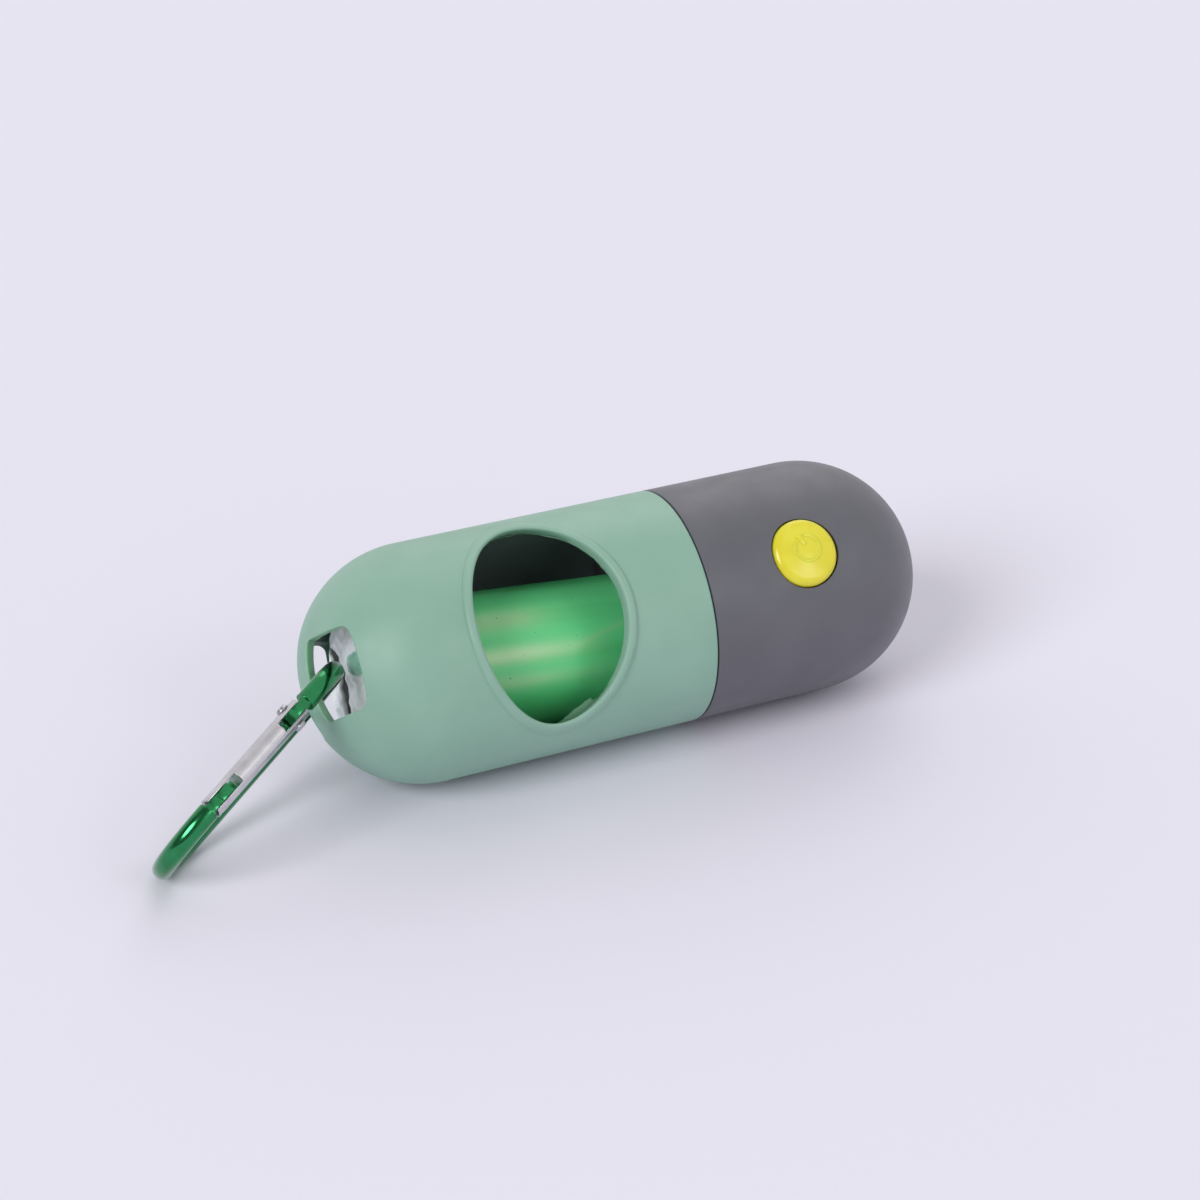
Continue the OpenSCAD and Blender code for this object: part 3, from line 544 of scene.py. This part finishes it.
# Wedge that bevels one inner edge of the bridge, bent about the dome's centre
def bevelCutter(side):
    edge, bevel = hitch["bridge"] / 2 + side * hitch["shift"], hitch["bevel"]
    start, past = hitch["bevelFrom"], hitch["past"]
    inside = math.sqrt(innerRadius ** 2 - (hitch["bridge"] / 2 - bevel) ** 2)
    span = math.degrees(math.asin(hitch["halfWidth"][side < 0] / innerRadius))
    outline = [(start, edge + past), (start, edge - bevel), (inside, edge - bevel), (inside + bevel, edge),
               (inside + bevel, edge + past)]
    bm = bmesh.new()
    bm.faces.new([bm.verts.new((-r * mm, 0, side * across * mm)) for r, across in outline])
    bmesh.ops.rotate(bm, verts=bm.verts, cent=(0, 0, 0), matrix=Matrix.Rotation(math.radians(-span), 3, "Z"))
    bmesh.ops.spin(bm, geom=bm.verts[:] + bm.edges[:] + bm.faces[:], cent=(0, 0, 0), axis=(0, 0, 1),
                   angle=math.radians(2 * span), steps=16, use_duplicate=False)
    bmesh.ops.recalc_face_normals(bm, faces=bm.faces)
    return finishMesh(bm, "bevelCutter", onAxis(domeX, hitch["facing"]))


# A point of the bead: round the mouth by angle, spread from its inner edge, and height over the tube
def beadPoint(angle, spread, height):
    halfLength, halfWidth = ovalHalves(spread)
    x, y = halfLength * math.cos(angle), halfWidth * math.sin(angle)
    return Vector((x, y, math.sqrt((capsule["radius"] + height) ** 2 - y ** 2))) * mm


def makeMouthBead():
    bm = bmesh.new()
    ring = bmesh.ops.create_circle(bm, segments=mouth["steps"], radius=mm)["verts"]
    angles = {v: 2 * math.pi * i / mouth["steps"] for i, v in enumerate(ring)}
    first = edges = bm.edges[:]
    for number, (spread, height) in enumerate(mouth["section"]):
        if number:
            grown = bmesh.ops.extrude_edge_only(bm, edges=edges)["geom"]
            edges = only(edgeKind, grown)
            angles = {v: math.atan2(v.co.y / halfWidth, v.co.x / halfLength) for v in only(vertKind, grown)}
        for v, angle in angles.items():
            v.co = beadPoint(angle, spread, height)
        halfLength, halfWidth = ovalHalves(spread)
    bmesh.ops.bridge_loops(bm, edges=first + edges)
    bmesh.ops.recalc_face_normals(bm, faces=bm.faces)
    bead = finishMesh(bm, "mouthBead", onAxis(domeX + mouth["at"], mouth["facing"]))
    dress(bead, greenShell, "housing", sharpAngle=60)


# Thin ragged skin left at the parting line, along the wall's inner edge
def makeFlash(name, outline, depth):
    bm = bmesh.new()
    steps = mouth["raggedSteps"]
    last = (len(outline) - 1) * steps
    rows = []
    for i in range(last + 1):
        k, part = divmod(i, steps)
        low, high = outline[k], outline[min(k + 1, len(outline) - 1)]
        degrees, reach = [low[j] + (high[j] - low[j]) * part / steps for j in (0, 1)]
        if 0 < i < last:
            reach += mouth["raggedHeight"] * math.sin(i * mouth["raggedTurn"])
        edge = beadPoint(math.radians(degrees), mouth["flashRoot"], -depth)
        inner = beadPoint(math.radians(degrees), 0, -depth)
        narrowed = 1 - max(reach, 0) / mouth["outer"][0]
        inner.x *= narrowed
        inner.y *= narrowed
        inner.z = math.sqrt(((capsule["radius"] - depth) * mm) ** 2 - inner.y ** 2)
        rows.append([bm.verts.new(edge), bm.verts.new(inner)])
    for (a, b), (c, d) in zip(rows, rows[1:]):
        bm.faces.new((a, b, d, c))
    # New faces have no normals yet, so this doubles the skin but leaves both its sides in one place
    bmesh.ops.solidify(bm, geom=bm.faces[:], thickness=mouth["flashThick"] * mm)
    bmesh.ops.recalc_face_normals(bm, faces=bm.faces)
    made = finishMesh(bm, name, onAxis(domeX + mouth["at"], mouth["facing"]))
    dress(made, thinGreenPaintedLight, "housing")


def makeBagShell():
    bm = bmesh.new()
    turned(bm, bagProfile(), capsule["steps"])
    shell = finishMesh(bm, "bagShell", onAxis())
    cut(shell, [mouthCutter(), windowCutter(1), windowCutter(-1), bevelCutter(1), bevelCutter(-1)])
    dress(shell, greenShell, "housing", ["bag_housing"], 30)
    # The inner wall's greyer colour is painted shade. The hitch's cut edges get painted light in front, a
    # paler green that also lets light through, and painted shade behind, a dark green
    for material in (innerWallPaintedShade, thinGreenPaintedLight, shadedGreen):
        shell.data.materials.append(material)
    axis = Vector((0, 0, capsule["radius"] * mm))
    turn = math.radians(hitch["facing"])
    across = Vector((0, -math.sin(turn), math.cos(turn)))
    leanAlong, leanOut = hitch["cutLean"]
    for face in shell.data.polygons:
        spot = face.center - axis
        spot.x = min(spot.x - domeX * mm, 0)
        leans = abs(face.normal.x) < leanAlong or abs(face.normal.dot(spot.normalized())) < leanOut
        if spot.length < (innerRadius + capsule["slack"]) * mm:
            face.material_index = 1
        elif spot.x < -hitch["cutInside"] * mm and leans:
            face.material_index = 2 if spot.dot(across) > 0 else 3
        else:
            face.material_index = 0


makeBagShell()
makeMouthBead()
makeFlash("mouthFlash", mouth["flash"], mouth["flashDepth"])
makeFlash("mouthBurrs", mouth["burrs"], mouth["burrDepth"])
print("bag half made")


roll = {
    "endX": 3.9,
    "endZ": 15.7,
    "lean": 5.497,
    "length": 54.8,
    "radius": 13.4,
    "core": 9.5,
    "coreGap": 0.05,
    "steps": 216,
    "rings": 130,
    # The wound edge at both ends: turns that are drawn, how far every other one stands back, the first
    # one's depth, and how far the edges at the outside and at the core are eased
    "layers": 16,
    "layerStep": 0.12,
    "layerDepth": 0.25,
    "edgeEase": 0.1,
    "coreEase": 0.3,
    # Depth of the film's dents. What lies deeper than the skin is wound edge and has none
    "ripple": 0.07,
    "skin": 0.2,
    # Painted highlights: bands by turn from the top to the front, half width, strength and how late they
    # come
    "paintedSheenBands": [(56, 7, 0.55, 1), (77, 6, 0.32, 1), (26, 10, 0.4, 2.5)],
    "paintedSheenFade": (9, 26),
    # Crease where the outer turn of film starts: two points, by distance from the neck end and turn
    "crease": ((9, 44.5), (17.5, 55.8)),
    "creaseHalf": 0.6,
    "creaseLead": 4,
    "creaseFade": 3,
    "creasePale": 0.16,
    # The step down behind the crease, and the width over which it falls
    "creaseStep": (0.08, 0.5),
}


def rollFrame():
    return place(roll["endX"], 0, roll["endZ"], [(roll["lean"] - 180, "Y")])


# How far a value has come from a start to an end, held between 0 and 1
def share(value, start, end):
    return min(max((value - start) / (end - start), 0), 1)


def rollProfile():
    length, r, core = roll["length"], roll["radius"], roll["core"] + roll["coreGap"]
    count, step, depth = roll["layers"], roll["layerStep"], roll["layerDepth"]
    layers = [(step * (i % 2), r - depth - (r - core - depth) * i / count) for i in range(count)]
    near = [(roll["coreEase"], core)] + [(x, level) for x, level in reversed(layers)]
    far = [(length - x, level) for x, level in layers] + [(length - roll["coreEase"], core)]
    edge = r - roll["edgeEase"]
    side = [(step, edge)] + straight(0, length, r, roll["rings"]) + [(length - step, edge)]
    return near + side + far


# Depth of the dents in the film: some that go round the roll, and fainter ones that lean along it
def filmDent(angle, x):
    around = math.sin(5 * angle + 0.05 * x + 1.2 * math.sin(2 * angle)) * math.sin(9 * angle + 0.7)
    return roll["ripple"] * (0.5 + 0.5 * around + 0.4 * math.sin(0.35 * x + 4 * angle))


def makeRoll():
    bm = bmesh.new()
    turned(bm, rollProfile(), roll["steps"], closed=True)
    pale = bm.verts.layers.float.new("paintedSheenAndPaleCrease")
    r = roll["radius"]
    (x1, turn1), (x2, turn2) = roll["crease"]
    stepDepth, stepWidth = roll["creaseStep"]
    for v in bm.verts:
        radius = math.hypot(v.co.y, v.co.z)
        if radius > (r - roll["skin"]) * mm:
            x = v.co.x / mm
            # Turn from the top of the roll towards the front
            turn = math.degrees(math.atan2(-v.co.y, -v.co.z))
            # Painted highlights: paler bands, fading in along the roll, plus a paler crease
            fade = share(x, *roll["paintedSheenFade"])
            paintedSheenBands = sum(part * math.exp(-((turn - at) / half) ** 2) * fade ** late
                        for at, half, part, late in roll["paintedSheenBands"])
            across = (turn - turn1 - (turn2 - turn1) * (x - x1) / (x2 - x1)) * math.pi / 180 * r
            along = share(x - x1 + roll["creaseLead"], 0, roll["creaseFade"])
            along *= share(x2 - x, 0, roll["creaseFade"])
            ridge = math.exp(-(across / roll["creaseHalf"]) ** 2) * along
            v[pale] = min(paintedSheenBands + roll["creasePale"] * ridge, 1)
            sag = filmDent(math.atan2(v.co.y, v.co.z), x) + stepDepth * share(across, 0, stepWidth) * along
            v.co.y *= 1 - sag * mm / radius
            v.co.z *= 1 - sag * mm / radius
    made = finishMesh(bm, "filmRoll", rollFrame())
    dress(made, rollFilm, "roll", ["bag_roll"], 50)


# The last bag's end, crumpled flat against the roll. Spots are (towards the back, up) from the roll's axis
tail = {
    "radius": 14.1,
    "steps": 130,
    "thick": 0.08,
    # Height over the roll's end, the least that is left of it, and the width of the rim that lies down
    "lift": 0.9,
    "liftLeast": 0.15,
    "rimWidth": 1.5,
    # Heights of the crumple's broad waves, of its finer ones and of its sharp creases
    "crumple": (0.16, 0.12, 0.14),
    "fold": [(14.6, 0.3), (12.4, 0), (9.4, -0.8), (7.5, -0.9), (5.9, -1.6), (4.6, -3), (3.6, -4.7),
             (2.2, -6.4), (1, -8), (-0.6, -11)],
    # Half width of the fold at its back end and at its low end, and from where on and how soon it widens
    "foldHalf": (1.6, 2),
    "foldWidens": (8, 4),
    "foldSoft": (0.65, 0.4),
    "foldDepth": 0.75,
    "shadeHalf": 3.4,
    "lobeAt": (-2.4, 5),
    "lobeTurn": 149,
    "lobeSize": (6.2, 2.3),
    "lobeSoft": (0.8, 0.3),
    "lobeLift": 1.0,
    # The film's own pale and the lobe's green, painted shade in the fold, and a bluish painted shade beside
    # it
    "pale": "#ffffff",
    "deep": "#10251b",
    "blue": "#b6bac8",
    "lobe": "#86b7a0",
}


# Distance from a spot to the fold, and which side of it the spot is on
def toFold(spot):
    best = None
    for a, b in zip(tail["fold"], tail["fold"][1:]):
        a, b = Vector(a), Vector(b)
        along = min(max((spot - a).dot(b - a) / (b - a).length_squared, 0), 1)
        off = spot - a - (b - a) * along
        side = (b - a).x * off.y - (b - a).y * off.x
        if best is None or off.length < best[0]:
            best = (off.length, side)
    return best


# Size of the lobe's outline that runs through a spot, where 1 is the lobe's own
def toLobe(spot):
    out = spot - Vector(tail["lobeAt"])
    turn = math.radians(tail["lobeTurn"])
    long, wide = tail["lobeSize"]
    return math.hypot((out.x * math.cos(turn) + out.y * math.sin(turn)) / long,
                      (out.y * math.cos(turn) - out.x * math.sin(turn)) / wide)


def smoothStep(value):
    value = min(max(value, 0), 1)
    return value * value * (3 - 2 * value)


# 1 inside a soft edge and 0 outside it, by where the edge starts and how wide it is
def within(value, edge):
    start, width = edge
    return 1 - smoothStep((value - start) / width)


def crumple(y, up):
    broad, fine, sharp = tail["crumple"]
    height = broad * math.sin(1.1 * y + 0.7 * up + 1.3 * math.sin(0.5 * up))
    height += fine * math.sin(2.3 * up - 1.2 * y + 0.8 * math.sin(0.9 * y))
    return height - sharp * abs(math.sin(1.3 * y + 0.9 * up))


def makeLooseFilm():
    pale, deep, blue, lobe = [Vector(linear(tail[key])) for key in ("pale", "deep", "blue", "lobe")]
    backHalf, lowHalf = tail["foldHalf"]
    widenFrom, widenOver = tail["foldWidens"]
    least = tail["liftLeast"]
    bm = bmesh.new()
    bmesh.ops.create_grid(bm, x_segments=tail["steps"], y_segments=tail["steps"], size=1)
    tintAndShade = bm.verts.layers.float_color.new("filmTintAndPaintedShade")
    for v in bm.verts:
        # The square grid is drawn in to a disc
        p, q = v.co.x, v.co.y
        spot = Vector((p * math.sqrt(1 - q * q / 2), q * math.sqrt(1 - p * p / 2))) * tail["radius"]
        y, up = spot
        away, side = toFold(spot)
        lobeSize = toLobe(spot)
        foldHalf = backHalf + (lowHalf - backHalf) * smoothStep((widenFrom - y) / widenOver)
        inFold = within(away / foldHalf, tail["foldSoft"])
        inLobe = within(lobeSize, tail["lobeSoft"])
        lift = tail["lift"] + crumple(y, up)
        lift += tail["lobeLift"] * math.sqrt(max(1 - lobeSize * lobeSize, 0)) - tail["foldDepth"] * inFold
        # The rim lies down on the roll
        rim = smoothStep((tail["radius"] - spot.length) / tail["rimWidth"])
        lift = least + (max(lift, least) - least) * rim
        v.co = Vector((roll["length"] + lift, y, -up)) * mm
        # Painted shade on one side of the fold, fading away from it; the fold itself is painted dark
        shade = (1 - smoothStep(away / tail["shadeHalf"])) * (side < 0)
        v[tintAndShade] = pale.lerp(blue, shade).lerp(lobe, inLobe).lerp(deep, inFold)
    # The faces still have the flat grid's normals, so the second side lies beside the first, not under it
    bmesh.ops.solidify(bm, geom=bm.faces[:], thickness=tail["thick"] * mm)
    bmesh.ops.recalc_face_normals(bm, faces=bm.faces)
    made = finishMesh(bm, "looseFilm", rollFrame())
    dress(made, tailFilm, "roll", ["bag_tail"], 70)


makeRoll()
refined("roll_core", coreCard, "roll")
makeLooseFilm()
print("roll made")


# The carabiner's own frame has X from its tip to its top, and Z from its spine to its gate
carabiner = {
    "hang": (-23.25, -3.45, 2.2),
    "lean": 34.08,
    "pitch": 8.35,
    "roll": -5.32,
    "rod": 1.85,
    "topBend": 8,
    "tipBend": 10.0097,
    "bendGap": 28.74,
    "spineTurn": 8,
    "collar": 3.11,
    "rivetAt": 7.07,
    "latchAt": 28.67,
    # Flat tongues that the gate's forks close over: thickness, half height, round end at the rivet, how
    # far it is sunk into the rod, and how soft its edges are
    "tongue": 1.9,
    "tongueHalf": 1.6,
    "tongueEnd": 1.68,
    "tongueSink": 0.3,
    "soft": 0.22,
    # Blocks of the hook at the latch: from where to where along X from the pin, lower side and softness
    "hook": [(-1.9, -0.8, -1.6, 0.22), (-1.2, 1.4, 0.82, 0.15), (0.8, 4.1, -1.6, 0.22)],
}


def carabinerFrame():
    turns = [(carabiner["lean"], "Z"), (carabiner["pitch"], "Y"), (carabiner["roll"], "X")]
    return onAxis(domeX, hitch["facing"]) @ place(*carabiner["hang"], turns)


# Carries a ring of the rod straight on, and returns the new ring
def runOn(bm, ring, way):
    grown = bmesh.ops.extrude_edge_only(bm, edges=only(edgeKind, ring))["geom"]
    bmesh.ops.translate(bm, vec=[v * mm for v in way], verts=only(vertKind, grown))
    return only((vertKind, edgeKind), grown)


# Carries a ring of the rod round a bend in the carabiner's plane, and returns the new ring
def bendOn(bm, ring, centre, degrees, steps):
    spun = bmesh.ops.spin(bm, geom=ring, cent=[v * mm for v in centre], axis=(0, 1, 0),
                          angle=math.radians(degrees), steps=steps, use_duplicate=False)
    return only((vertKind, edgeKind), spun["geom_last"])


def makeRod():
    collar, topBend, tipBend, gap = [carabiner[key] for key in ("collar", "topBend", "tipBend", "bendGap")]
    bm = bmesh.new()
    start = place(-collar, 0, topBend, [(90, "Y")])
    bmesh.ops.create_circle(bm, cap_ends=False, segments=32, radius=carabiner["rod"] * mm, matrix=start)
    ring = runOn(bm, bm.edges[:], (collar, 0, 0))
    ring = bendOn(bm, ring, (0, 0, 0), 180 - carabiner["spineTurn"], 44)
    turn = math.radians(carabiner["spineTurn"])
    ring = runOn(bm, ring, (-gap * math.cos(turn), 0, -gap * math.sin(turn)))
    bendOn(bm, ring, (-gap, 0, -(tipBend - topBend)), 180, 48)
    bmesh.ops.remove_doubles(bm, verts=bm.verts, dist=0.001 * mm)
    ends = [e for e in bm.edges if len(e.link_faces) == 1]
    bmesh.ops.holes_fill(bm, edges=ends, sides=40)
    bmesh.ops.recalc_face_normals(bm, faces=bm.faces)
    addTongues(bm)
    rod = finishMesh(bm, "carabinerRod", carabinerFrame())
    dress(rod, anodisedGreen, "carabiner", ["carabiner_frame"], 40)


# A flat block between two corners in the carabiner's plane, its edges softened
def addBlock(bm, low, high, soft):
    size = (high[0] - low[0], carabiner["tongue"], high[1] - low[1])
    centre = ((high[0] + low[0]) / 2, 0, (high[1] + low[1]) / 2)
    matrix = place(*centre) @ Matrix.Diagonal([s * mm for s in size] + [1])
    verts = bmesh.ops.create_cube(bm, size=1, matrix=matrix)["verts"]
    edges = {e for v in verts for e in v.link_edges}
    bmesh.ops.bevel(bm, geom=list(edges), offset=soft * mm, segments=2, profile=0.5, affect="EDGES",
                    material=-1)


def addTongues(bm):
    z, half, soft = carabiner["topBend"], carabiner["tongueHalf"], carabiner["soft"]
    rivet, latch = carabiner["rivetAt"], carabiner["latchAt"]
    addBlock(bm, (-rivet, z - half), (-carabiner["collar"] + carabiner["tongueSink"], z + half), soft)
    end = carabiner["tongueEnd"] * mm
    bmesh.ops.create_cone(bm, cap_ends=True, segments=32, radius1=end, radius2=end,
                          depth=carabiner["tongue"] * mm, matrix=place(-rivet, 0, z, [(90, "X")]))
    for low, high, bottom, blockSoft in carabiner["hook"]:
        addBlock(bm, (-latch + low, z + bottom), (-latch + high, z + half), blockSoft)


makeRod()
refined("carabiner_gate", bareAluminium, "gate")
refined("gate_rivet", pinSteel, "carabiner")
refined("latch_pin", pinSteel, "gate")
refined("gate_spring", springSteel, "gate")
print("carabiner made")


torch = {
    "edge": 0.16,
    "flat": 10.8,
    # How the dome rolls over into the flat end: turn at which it starts, and how far it is eased
    "flatFrom": 1.2,
    "flatEase": (0.12, 0.02, 0.4),
    "lensHole": 9.6,
    "neckLength": 6,
    "neckRadius": 19.4,
    "neckInside": 17.6,
    "neckRoot": 3,
    "crest": 0.4,
    "crestPitch": 1.6,
    "crestCount": 3,
    "bossAt": 15.6,
    "bossRadius": 2.4,
    "bossMiddle": 0.25,
    "bossLength": 4.5,
    "bossTurns": (0, 120, 240),
}
button = {
    "facing": 47.5,
    "at": 20.1,
    "radius": 6.35,
    "hole": 6.6,
    "holeDepth": 8,
    "top": 23,
    "crownDrop": 0.7,
    "edge": 1.5,
    # The flange under the shell: its radius, and where it lies from the capsule's axis. Its edges and the
    # cap's foot are eased
    "flange": (7.7, 17, 18.2),
    "flangeEase": 0.15,
    "footEase": 0.1,
    "symbolShift": (0.5, -0.3),
    "symbolRadius": 2.4,
    "symbolLine": 0.8,
    "symbolTurn": 28,
    "symbolGap": 50,
    "symbolRise": 0.14,
    "symbolSink": 0.05,
    # Stroke of the sign: its thickness, its length, where its middle lies and how round its edges are
    "strokeThick": 0.44,
    "strokeLength": 2.3,
    "strokeAt": 1.9,
    "strokeSoft": 0.14,
}


def torchProfile():
    r, wall, dome, edge = capsule["radius"], capsule["wall"], -domeX, torch["edge"]
    flatTurn = math.degrees(math.asin(torch["flat"] / r))
    flatX = dome + r * math.cos(math.radians(flatTurn))
    innerTurn = math.degrees(math.acos((flatX - wall - dome) / innerRadius))
    rootX, neckX = seamX + torch["neckRoot"], seamX - torch["neckLength"]
    neck, bore, pitch = torch["neckRadius"], torch["neckInside"], torch["crestPitch"]
    points = [(rootX, bore), (neckX, bore), (neckX, neck)]
    foot, top = pitch / 3, pitch / 8
    for k in range(torch["crestCount"], 0, -1):
        x, crest = seamX - k * pitch, neck + torch["crest"]
        points += [(x - foot, neck), (x - top, crest), (x + top, crest), (x + foot, neck)]
    points += [(seamX, neck)] + arc(seamX + edge, r - edge, edge, 180, 90, 4)
    points += straight(seamX, dome, r, 16) + arc(dome, 0, r, 90, flatTurn + torch["flatFrom"], 40)
    along, out, back = torch["flatEase"]
    points += [(flatX - along, torch["flat"] - out), (flatX, torch["flat"] - back)]
    points += [(flatX, torch["lensHole"]), (flatX - wall, torch["lensHole"])]
    points += arc(dome, 0, innerRadius, innerTurn, 90, 30)
    return points + [(rootX, innerRadius)]


def holeCutter():
    bm = bmesh.new()
    hole = button["hole"] * mm
    bmesh.ops.create_cone(bm, cap_ends=True, segments=96, radius1=hole, radius2=hole,
                          depth=button["holeDepth"] * mm)
    spot = onAxis(seamX, button["facing"]) @ place(button["at"], 0, capsule["radius"])
    return finishMesh(bm, "buttonHoleCutter", spot)


def makeTorchShell():
    bm = bmesh.new()
    turned(bm, torchProfile(), capsule["steps"], closed=True)
    shell = finishMesh(bm, "torchShell", onAxis())
    cut(shell, [holeCutter()])
    dress(shell, greyShell, "torch", ["torch_shell"], 30)


def makeScrewBosses():
    bm = bmesh.new()
    radius = torch["bossRadius"] * mm
    for turn in torch["bossTurns"]:
        spot = place(seamX + torch["bossMiddle"], 0, torch["bossAt"], [(90, "Y")])
        spot = place(turns=[(turn, "X")]) @ spot
        bmesh.ops.create_cone(bm, cap_ends=True, segments=40, radius1=radius, radius2=radius,
                              depth=torch["bossLength"] * mm, matrix=spot)
    bosses = finishMesh(bm, "screwBosses", onAxis(0, button["facing"]))
    dress(bosses, greyShell, "torch")


def makeButton():
    bm = bmesh.new()
    radius, top, drop, edge = [button[key] for key in ("radius", "top", "crownDrop", "edge")]
    crown = (radius ** 2 + drop ** 2) / (2 * drop)
    inner = radius - edge
    rim = top - inner ** 2 / (2 * crown)
    face = [(top - (inner * i / 14) ** 2 / (2 * crown), inner * i / 14) for i in range(14)]
    # The crown rolls over into the side
    side = [(rim, inner)] + arc(rim - edge, inner, edge, 10, 90, 7)
    flange, low, high = button["flange"]
    ease = button["flangeEase"]
    skirt = [(high + button["footEase"], radius), (high, radius + ease), (high, flange - ease),
             (high - ease, flange), (low + ease, flange), (low, flange - ease), (low, 0)]
    turned(bm, face + side + skirt, 96)
    addSymbol(bm, crown)
    spot = onAxis(seamX, button["facing"]) @ place(button["at"], 0, 0, [(-90, "Y")])
    made = finishMesh(bm, "buttonCap", spot)
    dress(made, yellowCap, "button", ["power_button"], 40)


# The raised on and off sign: an open ring and a short stroke, both half round. X is the way out here
def addSymbol(bm, crown):
    before = set(bm.verts)
    r, line, sink = button["symbolRadius"], button["symbolLine"], button["symbolSink"]
    level = button["top"] - r ** 2 / (2 * crown) - sink
    arcs = [math.radians(degrees) for degrees in range(0, 181, 30)]
    section = [(line / 2 * math.cos(a), (button["symbolRise"] + sink) * math.sin(a)) for a in arcs]
    verts = [bm.verts.new(((level + out) * mm, 0, (r + across) * mm)) for across, out in section]
    edges = [bm.edges.new(pair) for pair in zip(verts, verts[1:])]
    gap, turn = math.radians(button["symbolGap"]), math.radians(90 - button["symbolTurn"])
    bmesh.ops.rotate(bm, verts=verts, cent=(0, 0, 0), matrix=Matrix.Rotation(-turn + gap / 2, 3, "X"))
    bmesh.ops.spin(bm, geom=verts + edges, cent=(0, 0, 0), axis=(1, 0, 0), angle=2 * math.pi - gap, steps=56,
                   use_duplicate=False)
    size = [button["strokeThick"] * mm, line * mm, button["strokeLength"] * mm, 1]
    stroke = bmesh.ops.create_cube(bm, size=1, matrix=Matrix.Diagonal(size))
    edges = {e for v in stroke["verts"] for e in v.link_edges}
    made = bmesh.ops.bevel(bm, geom=list(edges), offset=button["strokeSoft"] * mm, segments=3, profile=0.5,
                           affect="EDGES", material=-1)
    moved = list({v for f in made["faces"] for v in f.verts})
    bmesh.ops.translate(bm, vec=((button["top"] - sink) * mm, 0, button["strokeAt"] * mm), verts=moved)
    bmesh.ops.rotate(bm, verts=moved, cent=(0, 0, 0), matrix=Matrix.Rotation(-turn, 3, "X"))
    shift = [v * mm for v in button["symbolShift"]]
    bmesh.ops.translate(bm, vec=[0] + shift, verts=[v for v in bm.verts if v not in before])


makeTorchShell()
makeScrewBosses()
makeButton()
print("torch half made")


# Pieces that show little or not at all, on the body that each goes with
inside = {
    "torch": [("lens_ring", darkRing), ("lens", lensClear), ("reflector", bowlChrome), ("led", ledResin),
              ("led_leads", pinSteel), ("switch_body", blackCase), ("circuit_board", boardGreen),
              ("resistor", chipBlack), ("cell_carrier", whiteCarrier), ("button_cells", cellNickel),
              ("contact_plate", plateBrass), ("contact_spring", springSteel), ("battery_cover", darkRing),
              ("cover_screw", pinSteel), ("carrier_screws", pinSteel), ("wire_red", redSleeve),
              ("wire_black", blackSleeve)],
    "plunger": [("switch_plunger", whiteCarrier)],
}
for body, contents in inside.items():
    for node, material in contents:
        refined(node, material, body)
print("inner pieces made")
